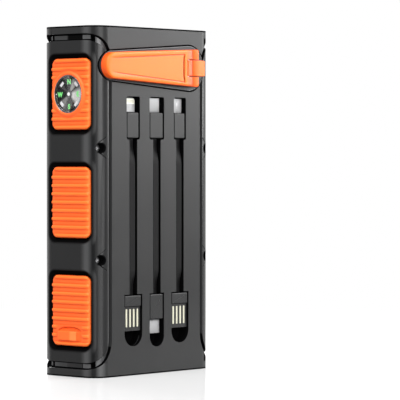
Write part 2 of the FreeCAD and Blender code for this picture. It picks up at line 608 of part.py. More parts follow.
def make_pad(name, side, level, skin_stock=pad_skin, holes=(), extras=(), trim="0"):
    outline = rounded_block(name + "_outline", "X", pad_reach(side), pad_heights(level, "-(%s)" % trim),
                            outward(side, "30", "45"), "pad_round")
    plain = common(name + "_plain", skin_stock, outline)
    far = "(pad_far + 0.2)" if trim == "0" else "(pad_far - %s)" % trim
    reach = ("-(pad_near - 1.2)", far) if side < 0 else ("-" + far, "pad_near - 1.2")
    bars = []
    half_count = int(size("rib_count")) // 2
    for k in range(-half_count, half_count + 1):
        centre = "%s + %d * rib_pitch" % (level, k)
        shorter = "1.5" if abs(k) == half_count else "0"
        bars.append(box("%s_bar_%d" % (name, k + half_count), outward(side, "30", "45"),
                        (reach[0] + " + " + shorter, reach[1] + " - " + shorter),
                        (centre + " - rib_tall / 2", centre + " + rib_tall / 2")))
    rib_stock = side_skin if skin_stock == pad_skin else rib_skin
    ribs = common(name + "_ribs", rib_stock, fuse(name + "_bars", *bars))
    whole = fuse(name + "_whole", plain, ribs)
    if holes:
        whole = cut(name + "_bored", whole, *holes)
    if extras:
        whole = fuse(name + "_joined", whole, *extras)
    return node(name, whole)


rib_skin = cut("rib_skin", section_block("rib_skin_outer", "0"),
               section_block("rib_skin_core", "skin - port_cover_gap"))
make_bumper("left_bumper", -1, "bumper_edge")
make_bumper("right_bumper", 1, "bumper_edge_right")

ring_outer = rod("compass_ring_outer", "X", "-case_width / 2 - ring_stand", "compass_y", "compass_z",
                 "compass_ring", "skin + ring_stand")
ring_inner = rod("compass_ring_inner", "X", "-case_width / 2 - 2", "compass_y", "compass_z",
                 "lens_radius + 0.05", "8")
make_pad("compass_pad", -1, pad_levels["upper"],
         holes=[rod("compass_pad_hole", "X", "-case_width / 2 - 2", "compass_y", "compass_z",
                    "compass_ring - 0.2", "8")],
         extras=[cut("compass_ring_part", ring_outer, ring_inner)])
make_pad("left_middle_pad", -1, pad_levels["middle"])
make_pad("right_middle_pad", 1, pad_levels["middle"])
make_pad("right_lower_pad", 1, pad_levels["lower"])
make_pad("power_pad", 1, pad_levels["upper"],
         holes=[rod("power_pad_hole", "X", "30", "button_y", "button_z", "button_radius + button_gap", "15")])
pull_tab = box("pull_tab", ("-case_width / 2 - 0.5", "-case_width / 2 + skin - 0.6"), ("-5.6", "6.2"),
               ("16.7", "20.8"))
nail_scoop = rod("nail_scoop", "Y", "-case_width / 2 - 1.2", "-4.6", "22.6", "2.2", "9.8")
make_pad("port_cover", -1, pad_levels["lower"], skin_stock=cover_skin, holes=[nail_scoop], extras=[pull_tab],
         trim="0.1")


# ---------------------------------------------------------------- fasteners

def make_screws(name, spots, head_radius, head_tall, shank_radius, seat, length, way=1):
    # spots are x, z pairs; the shank runs from the seat along way times +Y, the head stands behind it
    whole = []
    for k, (x, z) in enumerate(spots):
        head_low = "%s - %s" % (seat, head_tall) if way > 0 else seat
        shank_low = "%s - 0.1" % seat if way > 0 else "%s - %s" % (seat, length)
        drive_low = "%s - %s - 0.5" % (seat, head_tall) if way > 0 else "%s + %s - 0.5" % (seat, head_tall)
        head = rod("%s_head_%d" % (name, k), "Y", x, head_low, z, head_radius, head_tall)
        shank = rod("%s_shank_%d" % (name, k), "Y", x, shank_low, z, shank_radius, "%s + 0.1" % length)
        drive = [box("%s_drive_%d_%d" % (name, k, turn), ("%s - %s" % (x, across), "%s + %s" % (x, across)),
                     (drive_low, drive_low + " + 1"), ("%s - %s" % (z, tall), "%s + %s" % (z, tall)))
                 for turn, (across, tall) in enumerate((("0.22", "0.9"), ("0.9", "0.22")))]
        whole.append(cut("%s_%d" % (name, k), fuse("%s_solid_%d" % (name, k), head, shank), *drive))
    return node(name, fuse(name + "_part", *whole))


make_screws("case_screws", [("%d * screw_x" % side, z) for side, z in screw_spots], "screw_head",
            "screw_head_tall", "screw_shank", "-screw_seat", "screw_seat + screw_tip")
make_screws("gearbox_screws", plate_posts, "1.6", "1", "0.8", "(plate_front + plate_thick)", "5", way=-1)
make_screws("board_screws", board_posts, "1.8", "1", "0.8", "board_y", "4.2")


# ---------------------------------------------------------------- compass

def compass_rod(name, low, high, radius):
    # low and high are distances out from the middle of the case
    return rod(name, "X", "-(%s)" % high, "compass_y", "compass_z", radius, "(%s) - (%s)" % (high, low))


cup_rim = "lens_x - lens_thick"
node("compass_cup", cut("compass_cup_part", compass_rod("cup_outer", "cup_floor_x", cup_rim, "cup_radius"),
                        compass_rod("cup_inner", "cup_floor_x + cup_wall", "45", "cup_radius - cup_wall")))
cup_floor = "cup_floor_x + cup_wall"
node("compass_pivot", fuse("compass_pivot_part",
                           compass_rod("pivot_base", cup_floor, cup_floor + " + 1", "1.4"),
                           compass_rod("pivot_pin", cup_floor + " + 0.5", "card_x + 0.25", "pivot_radius")))
card_solid = fuse("card_solid",
                  compass_rod("card_disc", "card_x - card_thick", "card_x", "card_radius"),
                  compass_rod("card_magnet", "card_x - card_thick - 1.2", "card_x - 0.1", "3.2"),
                  compass_rod("card_cap", "card_x - 0.1", "card_x + 0.45", "0.75"))
node("compass_card", cut("compass_card_part", card_solid,
                         compass_rod("card_bore", "30", "card_x + 0.3", "pivot_radius + 0.05")))
node("compass_lens", compass_rod("compass_lens_part", cup_rim, "lens_x", "lens_radius"))


# ---------------------------------------------------------------- power button

def make_power_button():
    face = rod("button_face", "X", "case_width / 2 - skin + button_travel + button_gap", "button_y", "button_z",
               "button_radius", "skin - button_travel - button_gap + button_stand")
    stem = rod("button_stem", "X", "34.6", "button_y", "button_z", "2.4", "4.5")
    collar = rod("button_collar", "X", "35.1", "button_y", "button_z", "3.4", "0.8")
    dish = rod("button_dish", "X", "case_width / 2 + button_stand - 0.25", "button_y", "button_z", "4.4", "2")
    return node("power_button", cut("power_button_part", fuse("button_solid", face, stem, collar), dish))


make_power_button()
node("button_board", box("button_board_part", ("29.8", "31"), ("-6", "6"), ("125.5", "144.5")))
node("tactile_switch", fuse("tactile_switch_part",
                            box("switch_body", ("31", "33.4"), ("-3", "3"), ("button_z - 3", "button_z + 3")),
                            rod("switch_plunger", "X", "33.3", "button_y", "button_z", "1.7", "0.6")))


# ---------------------------------------------------------------- crank

arm_low, arm_high = "(-case_depth / 2 - arm_gap - arm_thick)", "(-case_depth / 2 - arm_gap)"
arm_middle = "(-case_depth / 2 - arm_gap - arm_thick / 2)"
knob_x = "(crank_x + knob_axis)"
shaft_tip = "(gear_two_front - gear_gap)"
shaft_top = "(%s - 2.2)" % arm_high


def knob_rod(name, radius, half):
    return rod(name, "Z", knob_x, arm_middle, "crank_z - %s" % half, radius, "2 * (%s)" % half)


def hinge_crease(name):
    return box(name, (knob_x + " + 1.7", knob_x + " + 2.1"), (arm_low + " - 1", arm_low + " + 0.25"),
               ("crank_z - 12", "crank_z + 12"))


def make_crank_arm():
    solid = arm_block("arm_solid", "0", "arm_narrow", "arm_wide", "arm_reach", "arm_corner",
                      (arm_low, arm_high))
    gap_half = "(knob_tall / 2 + knob_gap)"
    fork = box("arm_fork", (knob_x + " - 2.2", knob_x + " + 20"), (arm_low + " - 1", arm_high + " + 1"),
               ("crank_z - " + gap_half, "crank_z + " + gap_half))
    panel = arm_block("arm_panel", "0", "arm_narrow - rim_width", "arm_wide - rim_width - 0.4", "rim_reach",
                      "0.8", (arm_low + " - 1", arm_low + " + rim_depth"))
    socket = rod("arm_socket", "Y", "crank_x", shaft_top, "crank_z", "shaft_radius", "6")
    pin_bore = knob_rod("arm_pin_bore", "pin_radius", "7.4")
    crease = hinge_crease("arm_crease")
    return node("crank_arm", cut("crank_arm_part", solid, fork, panel, socket, pin_bore, crease))


make_crank_arm()
node("crank_shaft", rod("crank_shaft_part", "Y", "crank_x", shaft_top, "crank_z", "shaft_radius",
                        "%s - %s" % (shaft_tip, shaft_top)))
node("crank_bush", cut("crank_bush_part",
                       rod("bush_sleeve", "Y", "crank_x", face_y, "crank_z", "bush_radius",
                           "gear_one_front - gear_gap + case_depth / 2"),
                       rod("bush_bore", "Y", "crank_x", face_y + " - 1", "crank_z",
                           "shaft_radius + shaft_play", "9")))
node("knob_pin", knob_rod("knob_pin_part", "pin_radius", "7.4"))
node("crank_knob", cut("crank_knob_part",
                       fuse("knob_solid", knob_rod("knob_barrel", "1.9", "knob_tall / 2"),
                            box("knob_plate", (knob_x, "crank_x + knob_tip"),
                                (arm_middle + " - knob_thick / 2", arm_middle + " + knob_thick / 2"),
                                ("crank_z - knob_tall / 2", "crank_z + knob_tall / 2"))),
                       knob_rod("knob_bore", "pin_radius + pin_play", "8"), hinge_crease("knob_crease")))


# ---------------------------------------------------------------- gear train and generator

crank_wheel = gear_body("crank_wheel", (("crank_x", "crank_z"), "crank_teeth", "gear_one_front",
                                        "gear_one_wide", 180 / size("crank_teeth")))
node("crank_gear", cut("crank_gear_part", crank_wheel,
                       rod("crank_gear_bore", "Y", "crank_x", "-20", "crank_z", "shaft_radius", "12")))
turn_two, turn_three = size("mesh_two_turn"), size("mesh_three_turn")
wheel_half = 180 / size("wheel_teeth")


def bored_gear(label, body, centre):
    hole = rod(label + "_bore", "Y", centre[0], "-20", centre[1], bore, "16")
    return node(label, cut(label + "_part", body, hole))


bored_gear("first_stage_gear", gear_body(
    "first_stage", (axle_one, "pinion_teeth", "gear_one_front", "gear_two_front - gear_one_front", 180),
    (axle_one, "wheel_teeth", "gear_two_front", "gear_two_wide", turn_two + wheel_half)), axle_one)
bored_gear("second_stage_gear", gear_body(
    "second_stage", (axle_two, "pinion_teeth", "gear_two_front", "gear_three_front - gear_two_front",
                     180 + turn_two),
    (axle_two, "wheel_teeth", "gear_three_front", "gear_three_wide", turn_three + wheel_half)), axle_two)

axle_low = "-case_depth / 2 + face_wall - 0.5"
plate_back = "(plate_front + plate_thick)"
face_inner = "(face_wall - case_depth / 2)"
axles = [rod("gear_axle_%d" % k, "Y", x, axle_low, z, "axle_radius", "%s - (%s)" % (plate_back, axle_low))
         for k, (x, z) in enumerate((axle_one, axle_two))]
axles += [rod("gear_shoulder_%d" % k, "Y", x, face_inner, z, "axle_shoulder",
              "%s - gear_gap - %s" % (front, face_inner))
          for k, ((x, z), front) in enumerate(((axle_one, "gear_one_front"), (axle_two, "gear_two_front")))]
node("gear_axles", fuse("gear_axles_part", *axles))


def make_gearbox_plate():
    plate = rounded_block("plate_blank", "Y", ("-32.8", "14.4"), ("131.4", "156.6"),
                          ("plate_front", plate_back), "2")
    tools = [rod("plate_axle_%d" % k, "Y", x, "plate_front - 1", z, "axle_radius", "4")
             for k, (x, z) in enumerate((axle_one, axle_two))]
    tools += [rod("plate_screw_%d" % k, "Y", x, "plate_front - 1", z, "0.8", "4")
              for k, (x, z) in enumerate(plate_posts)]
    tools.append(rod("plate_rotor", "Y", rotor_axis[0], "plate_front - 1", rotor_axis[1],
                     "rotor_shaft + 0.6", "4"))
    return node("gearbox_plate", cut("gearbox_plate_part", plate, *tools))


def rotor_rod(name, low, high, radius):
    return rod(name, "Y", rotor_axis[0], low, rotor_axis[1], radius, "(%s) - (%s)" % (high, low))


def make_generator():
    back = "(%s + can_deep)" % plate_back
    node("generator_can", cut("generator_can_part", rotor_rod("can_outer", plate_back, back, "can_radius"),
                              rotor_rod("can_inner", "%s - 1" % plate_back, "%s - can_wall" % back,
                                        "can_radius - can_wall"),
                              rotor_rod("can_bearing", "-8", "10", "rotor_shaft + 0.05")))
    iron = (plate_back + " + 1.6", back + " - 2.4")
    ring = cut("stator_ring", rotor_rod("stator_out", *iron, "can_radius - can_wall"),
               rotor_rod("stator_in", "-8", "8", "stator_outer - 0.7"))
    teeth, coils = [], []
    kinds = (("tooth", ("stator_inner", "stator_outer - 0.5"), "1", "0", teeth),
             ("coil", ("stator_inner + 0.5", "stator_outer - 0.9"), "1.7", "0.7", coils))
    for k in range(6):
        for label, reach, across, deep, group in kinds:
            arm = doc.addObject("Part::Box", "stator_%s_%d" % (label, k))
            arm.setExpression("Length", bound("(%s) - (%s)" % (reach[1], reach[0])))
            arm.setExpression("Height", bound("2 * (%s)" % across))
            arm.setExpression("Width", bound("(%s) - (%s) + 2 * (%s)" % (iron[1], iron[0], deep)))
            angle = math.radians(60 * k)
            turn = FreeCAD.Rotation(FreeCAD.Vector(0, 1, 0), -60 * k)
            arm.Placement = FreeCAD.Placement(FreeCAD.Vector(), turn)
            along, aside = math.cos(angle), math.sin(angle)
            place(arm, "%s + (%s) * %.9f + (%s) * %.9f" % (rotor_axis[0], reach[0], along, across, aside),
                  "%s - (%s)" % (iron[0], deep),
                  "%s + (%s) * %.9f - (%s) * %.9f" % (rotor_axis[1], reach[0], aside, across, along))
            group.append(arm)
    node("generator_stator", fuse("generator_stator_part", ring, *teeth))
    cores = fuse("coil_cores", *teeth)
    node("generator_coils", cut("generator_coils_part", fuse("coil_blocks", *coils), cores))
    pinion = gear_body("rotor_pinion", (rotor_axis, "pinion_teeth", "gear_three_front", "gear_three_wide",
                                        180 + turn_three))
    shaft = rotor_rod("rotor_spindle", "gear_three_front - 0.3", back + " - 0.2", "rotor_shaft")
    magnet = rotor_rod("rotor_magnet", iron[0], iron[1], "rotor_radius")
    node("generator_rotor", fuse("generator_rotor_part", pinion, shaft, magnet))


make_gearbox_plate()
make_generator()


# ---------------------------------------------------------------- cells and boards

cell_front = "(%s + slot_floor_wall)" % floor_y
node("battery_cells", fuse("battery_cells_part", *[
    rounded_block("cell_%d" % k, "Z", ("cell_left", "cell_right"),
                  ("%s + %d * (cell_thick + cell_gap)" % (cell_front, k),
                   "%s + %d * (cell_thick + cell_gap) + cell_thick" % (cell_front, k)),
                  ("cell_low", "cell_high"), "cell_round")
    for k in range(2)]))


def make_main_board():
    board = rounded_block("board_blank", "Y", ("-board_half", "board_half"), ("board_low", "board_high"),
                          ("board_y", "board_y + board_thick"), "2")
    holes = [rod("board_bore_%d" % k, "Y", x, "board_y - 1", z, "0.8", "4")
             for k, (x, z) in enumerate(board_posts)]
    holes += [rod("board_notch_%d" % k, "Y", "%d * screw_x" % side, "board_y - 1", z, "boss_radius + 0.3", "4")
              for k, (side, z) in enumerate(screw_spots)]
    return node("main_board", cut("main_board_part", board, *holes))


make_main_board()
# x from, x to, z from, z to, height off the board
chips = [("-6", "6", "7", "18", "3.4"), ("12", "18", "8", "14", "1"), ("20", "27", "8", "15", "1.2"),
         ("-20", "-12", "119.5", "125", "1"), ("-4", "8", "120", "125.5", "2.6"),
         ("14", "20", "119.5", "125", "1")]
node("board_parts", fuse("board_parts_part", *[
    box("chip_%d" % k, (x0, x1), ("board_y - " + tall, "board_y"), (z0, z1))
    for k, (x0, x1, z0, z1, tall) in enumerate(chips)]))


def make_port(name, centre, wide, tall, deep, opening_wide, opening_tall, tongue_tall):
    low = "-case_width / 2 + skin + 0.3"
    middle = "(board_y - %s / 2)" % tall
    shell = rounded_block(name + "_body", "X", ("board_y - %s" % tall, "board_y"),
                          ("%s - %s / 2" % (centre, wide), "%s + %s / 2" % (centre, wide)),
                          (low, low + " + " + deep), "0.8")
    mouth = rounded_block(name + "_mouth", "X",
                          ("%s - %s / 2" % (middle, opening_tall), "%s + %s / 2" % (middle, opening_tall)),
                          ("%s - %s / 2" % (centre, opening_wide), "%s + %s / 2" % (centre, opening_wide)),
                          (low + " - 1", low + " + %s - 1" % deep), "0.6")
    tongue = box(name + "_tongue", (low + " + 0.8", low + " + " + deep + " - 0.5"),
                 ("%s - %s / 2" % (middle, tongue_tall), "%s + %s / 2" % (middle, tongue_tall)),
                 ("%s - %s / 2 + 1" % (centre, opening_wide), "%s + %s / 2 - 1" % (centre, opening_wide)))
    return node(name, fuse(name + "_part", cut(name + "_shell", shell, mouth), tongue))


make_port("usb_a_port", "usba_z", "13.2", "6.4", "14", "12.4", "4.8", "1.7")
make_port("usb_c_port", "usbc_z", "9", "3.2", "7.5", "8.4", "2.6", "0.7")


# ---------------------------------------------------------------- leads

grip_y = (face_y + " + grip_face", face_y + " + grip_face + grip_thick")
tongue_y = (face_y + " + tongue_face", face_y + " + tongue_face + tongue_thick")
plug_y = "-plug_centre"


def plug_block(name, centre, wide, thick, span, round_edge, round_tip):
    # a plug shell: its section rounded by round_edge, its tip's corners by round_tip
    section = rounded_block(name + "_section", "Z", span_about(centre, wide), span_about(plug_y, thick), span,
                            round_edge)
    low = span[0] + (" - 3" if round_tip[0] == "up" else "")
    high = span[1] + (" + 3" if round_tip[0] == "down" else "")
    outline = rounded_block(name + "_outline", "Y", span_about(centre, wide), (low, high), ("-20", "-10"),
                            round_tip[1])
    return common(name + "_part", section, outline)


upper_plugs = {"left": ("6.7", "1.6", "0.78", "1.2"), "middle": ("8.3", "2.5", "1.2", "0.5"),
               "right": ("6.9", "1.9", "0.5", "0.3")}


def make_cable(name, centre):
    # a flat cable that lies deep at its two grips and rises towards the face between them
    end_y, mid_y = size("cable_end_y"), size("cable_mid_y")
    top, bottom = size("grip_bottom"), size("lower_grip_top")
    bend, lead_in, half = size("cable_bend"), size("cable_straight"), size("cable_thick") / 2
    turn = math.acos(1 - (end_y - mid_y) / 2 / bend)
    run = bend * math.sin(turn)
    vec = FreeCAD.Vector

    def edge_line(shift):
        # the points and arc middles of one face of the cable, from the upper grip down
        points, mids = [], []
        for z_end, way in ((top, -1), (bottom, 1)):
            start = vec(0, end_y + shift, z_end + way * lead_in)
            first, second = vec(0, end_y - bend, start.z), vec(0, mid_y + bend, start.z + way * 2 * run)
            r_first, r_second = bend + shift, bend - shift
            spots = [vec(0, end_y + shift, z_end), start]
            middle_one = first + vec(0, r_first * math.cos(turn / 2), way * r_first * math.sin(turn / 2))
            joint = first + vec(0, r_first * math.cos(turn), way * r_first * math.sin(turn))
            middle_two = second + vec(0, -r_second * math.cos(turn / 2), -way * r_second * math.sin(turn / 2))
            spots += [joint, vec(0, mid_y + shift, second.z)]
            points.append(spots)
            mids.append((middle_one, middle_two))
        upper, lower = points[0], points[1][::-1]
        return [Part.LineSegment(upper[0], upper[1]), Part.Arc(upper[1], mids[0][0], upper[2]),
                Part.Arc(upper[2], mids[0][1], upper[3]), Part.LineSegment(upper[3], lower[0]),
                Part.Arc(lower[0], mids[1][1], lower[1]), Part.Arc(lower[1], mids[1][0], lower[2]),
                Part.LineSegment(lower[2], lower[3])]

    outer, inner = edge_line(-half), edge_line(half)
    ends = [Part.LineSegment(vec(0, end_y - half, z), vec(0, end_y + half, z)) for z in (top, bottom)]
    wire = Part.Wire(Part.__sortEdges__([curve.toShape() for curve in outer + inner + ends]))
    solid = Part.Face(wire).extrude(vec(size("cable_wide"), 0, 0))
    long_edges = [edge for edge in solid.Edges if abs(edge.Vertexes[0].X - edge.Vertexes[-1].X) < 1e-6
                  and abs(edge.Vertexes[0].Z - edge.Vertexes[-1].Z) > 1e-3]
    thing = doc.addObject("Part::Feature", name + "_part")
    thing.Shape = solid.makeFillet(0.8, long_edges)
    thing.Placement = FreeCAD.Placement(vec(size(centre) - size("cable_wide") / 2, 0, 0), FreeCAD.Rotation())
    print(name, "length", round(outer[0].toShape().Length + sum(c.toShape().Length for c in outer[1:]), 2))
    return node(name, thing)


def make_lead(name, step, top_wide, low_wide, kind):
    centre = lead_x(step)
    label = "lead_%s_" % name
    top_grip = "%s - 2 * grip_gap" % top_wide
    low_grip = "%s - 2 * grip_gap" % low_wide
    node(label + "top_grip", rounded_block(label + "top_grip_part", "Y", span_about(centre, top_grip),
                                           ("grip_bottom", "grip_top"), grip_y, "0.8"))
    wide, thick, edge, tip = upper_plugs[name]
    node(label + "top_plug", plug_block(label + "top_plug", centre, wide, thick, ("grip_top", "plug_top"), edge,
                                        ("up", tip)))
    make_cable(label + "cable", centre)
    grip_low = "tongue_grip_bottom" if kind == "tongue" else "usbc_grip_bottom"
    node(label + "bottom_grip", rounded_block(label + "bottom_grip_part", "Y", span_about(centre, low_grip),
                                              (grip_low, "lower_grip_top"), grip_y, "0.5"))
    if kind == "usbc":
        node(label + "bottom_plug", plug_block(label + "bottom_plug", centre, "8.3", "2.5",
                                               ("usbc_plug_bottom", "usbc_grip_bottom"), "1.2",
                                               ("down", "0.5")))
        return
    strips = [box("%scontact_%d" % (label, k), ("%s + %.3f" % (centre, 2.45 * (k - 1.5) - 0.6),
                                                "%s + %.3f" % (centre, 2.45 * (k - 1.5) + 0.6)),
                  (tongue_y[0] + " - 0.06", tongue_y[0] + " + 0.3"),
                  ("tongue_bottom + 1.8", "tongue_grip_bottom - 1")) for k in range(4)]
    node(label + "contacts", fuse(label + "contacts_part", *strips))
    board = box(label + "tongue", span_about(centre, low_grip), tongue_y,
                ("tongue_bottom", "tongue_grip_bottom"))
    node(label + "bottom_plug", cut(label + "bottom_plug_part", board, fuse(label + "contact_beds", *strips)))


for lead in leads:
    make_lead(*lead)


# ---------------------------------------------------------------- checks and files

def check_document():
    doc.recompute()
    bad = [thing.Name for thing in doc.Objects if {"Invalid", "Error"} & set(thing.State)]
    if bad:
        raise RuntimeError("failed objects: " + ", ".join(bad))
    for name, thing in nodes.items():
        if thing.Shape.isNull() or not thing.Shape.isValid() or not thing.Shape.Solids:
            raise RuntimeError("bad shape: " + name)


check_document()
for name, thing in nodes.items():
    thing.Shape.exportStep("parts/%s.step" % name)
    shape_box = thing.Shape.BoundBox
    print("%-24s solids %2d volume %9.1f  x %7.2f %7.2f  y %7.2f %7.2f  z %7.2f %7.2f" % (
        name, len(thing.Shape.Solids), thing.Shape.Volume, shape_box.XMin, shape_box.XMax, shape_box.YMin,
        shape_box.YMax, shape_box.ZMin, shape_box.ZMax))
print(len(nodes), "nodes")
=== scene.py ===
import bpy
import bmesh
import json
import math
from mathutils import Matrix, Vector, geometry


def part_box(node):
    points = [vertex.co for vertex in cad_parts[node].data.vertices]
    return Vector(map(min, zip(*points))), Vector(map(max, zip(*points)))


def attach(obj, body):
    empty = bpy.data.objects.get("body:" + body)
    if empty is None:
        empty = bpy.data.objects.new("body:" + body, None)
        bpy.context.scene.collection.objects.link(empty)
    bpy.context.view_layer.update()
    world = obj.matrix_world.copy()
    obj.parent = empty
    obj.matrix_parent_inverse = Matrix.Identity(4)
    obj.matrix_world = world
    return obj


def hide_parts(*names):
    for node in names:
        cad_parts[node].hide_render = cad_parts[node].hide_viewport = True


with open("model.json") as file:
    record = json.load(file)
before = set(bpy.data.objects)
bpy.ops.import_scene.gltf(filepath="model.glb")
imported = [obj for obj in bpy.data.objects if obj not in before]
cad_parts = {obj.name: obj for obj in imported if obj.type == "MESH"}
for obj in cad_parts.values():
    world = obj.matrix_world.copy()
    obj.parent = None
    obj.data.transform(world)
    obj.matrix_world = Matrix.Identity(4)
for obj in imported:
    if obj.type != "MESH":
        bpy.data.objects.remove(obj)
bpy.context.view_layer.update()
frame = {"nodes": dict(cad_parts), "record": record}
nodes = frame["nodes"]
mm = 0.001
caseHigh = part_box("front_shell")[1]
caseHigh.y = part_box("back_shell")[1].y
caseHalf, caseMiddle = caseHigh.x / mm, caseHigh.z / mm / 2
print("frame loaded:", len(nodes), "nodes")


# small helpers for shader trees; those that take a socket find its tree themselves

def addNode(tree, kind, settings=None, inputs=None):
    node = tree.nodes.new(kind)
    for key, value in (settings or {}).items():
        setattr(node, key, value)
    for key, value in (inputs or {}).items():
        if isinstance(value, bpy.types.NodeSocket):
            tree.links.new(value, node.inputs[key])
        else:
            node.inputs[key].default_value = value
    return node


def treeOf(*values):
    return next(value.id_data for value in values if isinstance(value, bpy.types.NodeSocket))


def mathNode(operation, *values):
    inputs = dict(enumerate(values))
    return addNode(treeOf(*values), "ShaderNodeMath", {"operation": operation}, inputs).outputs[0]


def chainOf(operation):
    # a function that applies the operation to two or more values in turn
    def chain(first, *others):
        for other in others:
            first = mathNode(operation, first, other)
        return first
    return chain


plus, minus, times = chainOf("ADD"), chainOf("SUBTRACT"), chainOf("MULTIPLY")
above, below, larger = chainOf("GREATER_THAN"), chainOf("LESS_THAN"), chainOf("MAXIMUM")


def magnitude(value):
    return mathNode("ABSOLUTE", value)


def without(mask):
    return minus(1.0, mask)


def hypotenuse(first, second):
    return mathNode("SQRT", plus(times(first, first), times(second, second)))


def mapRange(value, low=0.0, high=1.0, first=0.0, last=1.0, smooth=False):
    settings = {"interpolation_type": "SMOOTHSTEP" if smooth else "LINEAR"}
    ends = {"Value": value, "From Min": low, "From Max": high, "To Min": first, "To Max": last}
    return addNode(treeOf(value), "ShaderNodeMapRange", settings, ends).outputs[0]


def mixColours(factor, first, second):
    first, second = [(*colour, 1) if isinstance(colour, tuple) else colour for colour in (first, second)]
    inputs = {0: factor, 6: first, 7: second}
    return addNode(treeOf(factor), "ShaderNodeMix", {"data_type": "RGBA"}, inputs).outputs[2]


def noiseOf(point, scale, detail):
    inputs = {"Vector": point, "Scale": scale, "Detail": detail}
    return addNode(treeOf(point), "ShaderNodeTexNoise", None, inputs).outputs["Fac"]


def feed(socket, value):
    socket.id_data.links.new(value, socket)


def fedBy(socket):
    return socket.links[0].from_socket


def position(tree):
    # the point on the object in metres, which rides along when the object moves
    return addNode(tree, "ShaderNodeTexCoord").outputs["Object"]


def axesOf(tree):
    return addNode(tree, "ShaderNodeSeparateXYZ", None, {0: position(tree)}).outputs


def fromMiddleX(tree):
    return times(magnitude(axesOf(tree)[0]), 1000.0)


def newGroup(name, inputs, outputs):
    # inputs are names with their defaults, and every socket holds one number
    group = bpy.data.node_groups.new(name, "ShaderNodeTree")
    for label, value in inputs.items():
        socket = group.interface.new_socket(label, in_out="INPUT", socket_type="NodeSocketFloat")
        socket.default_value = value
    for label in outputs:
        group.interface.new_socket(label, in_out="OUTPUT", socket_type="NodeSocketFloat")
    return group, group.nodes.new("NodeGroupInput").outputs, group.nodes.new("NodeGroupOutput").inputs


def placeGroup(tree, group, inputs=None):
    return addNode(tree, "ShaderNodeGroup", {"node_tree": group}, inputs).outputs


def shaderOf(material):
    return material.node_tree.nodes["Principled BSDF"].inputs


def newMaterial(name, colour, rough, metallic=0.0, specular=0.5):
    material = bpy.data.materials.new(name)
    material.use_nodes = True
    inputs = shaderOf(material)
    inputs["Base Color"].default_value = (*colour, 1)
    inputs["Roughness"].default_value = rough
    inputs["Metallic"].default_value = metallic
    inputs["Specular IOR Level"].default_value = specular
    return material, material.node_tree, inputs


def feedNormal(inputs, height, distance):
    settings = {"Strength": 1.0, "Distance": distance, "Height": height}
    feed(inputs["Normal"], addNode(treeOf(height), "ShaderNodeBump", None, settings).outputs[0])


def showMixed(tree, share, first, second):
    # the material shows a share of the second shader over the first
    mixed = {0: share, 1: first.outputs[0], 2: second.outputs[0]}
    feed(tree.nodes["Material Output"].inputs["Surface"],
         addNode(tree, "ShaderNodeMixShader", None, mixed).outputs[0])


def makeMouldGrain():
    # spark-eroded mould texture: a fine pitted height, and a slow drift in tone
    group, given, out = newGroup("mouldGrain", {"Size": 0.0004, "Drift": 0.03}, ("Height", "Tone", "Patch"))
    point = position(group)
    fine = noiseOf(point, mathNode("DIVIDE", 1.0, given["Size"]), 2.0)
    coarse = noiseOf(point, mathNode("DIVIDE", 1.0, given["Drift"]), 3.0)
    feed(out["Height"], fine)
    feed(out["Tone"], plus(times(fine, 0.35), times(coarse, 0.65)))
    feed(out["Patch"], coarse)
    return group


def pastSide(value, half, corner):
    # how far a value lies past the straight part of a side that ends in a round corner
    return minus(magnitude(value), minus(half, corner))


def outside(past):
    return hypotenuse(larger(past[0], 0.0), larger(past[1], 0.0))


def makeCaseDepth():
    # how far a point lies inside the case's rounded section, in millimetres
    group, given, out = newGroup("caseDepth", {"Corner": 8.0}, ("Depth",))
    axes = axesOf(group)
    past = [pastSide(times(axis, 1000.0), half, given["Corner"])
            for axis, half in ((axes[0], caseHalf), (axes[1], caseHigh.y / mm))]
    flat = mathNode("MINIMUM", larger(*past), 0.0)
    feed(out["Depth"], minus(given["Corner"], plus(outside(past), flat)))
    return group


halo = {"middle": 79.6, "pitch": 49.4, "shift": -0.8, "halfAlong": 11.4, "halfUp": 16.25, "near": 1.9,
        "far": 3.1}


def makePadHalo():
    # distance in millimetres from the nearest pad's outline, on either side of the case
    group, given, out = newGroup("padHalo", {"Corner": 2.6}, ("Distance", "Along", "Up"))
    axes = axesOf(group)
    along = times(axes[1], mathNode("SIGN", axes[0]), -1000.0)
    up = times(axes[2], 1000.0)
    wrapped = mathNode("WRAP", minus(up, halo["middle"]), halo["pitch"] / 2, -halo["pitch"] / 2)
    past = [pastSide(minus(along, halo["shift"]), halo["halfAlong"], given["Corner"]),
            pastSide(wrapped, halo["halfUp"], given["Corner"])]
    feed(out["Distance"], minus(outside(past), given["Corner"]))
    feed(out["Along"], along)
    feed(out["Up"], up)
    return group


mouldGrain, caseDepth, padHalo = makeMouldGrain(), makeCaseDepth(), makePadHalo()


def rampNode(value, stops, low, high):
    # levels from 0 to 1 at places between low and high
    node = addNode(treeOf(value), "ShaderNodeValToRGB", None, {0: mapRange(value, low, high)})
    places = [(place - low) / (high - low) for place, level in stops]
    elements = node.color_ramp.elements
    elements[0].position, elements[-1].position = places[0], places[-1]
    for place in places[1:-1]:
        elements.new(place)
    for element, (place, level) in zip(elements, stops):
        element.color = (level, level, level, 1)
    return node.outputs[0]


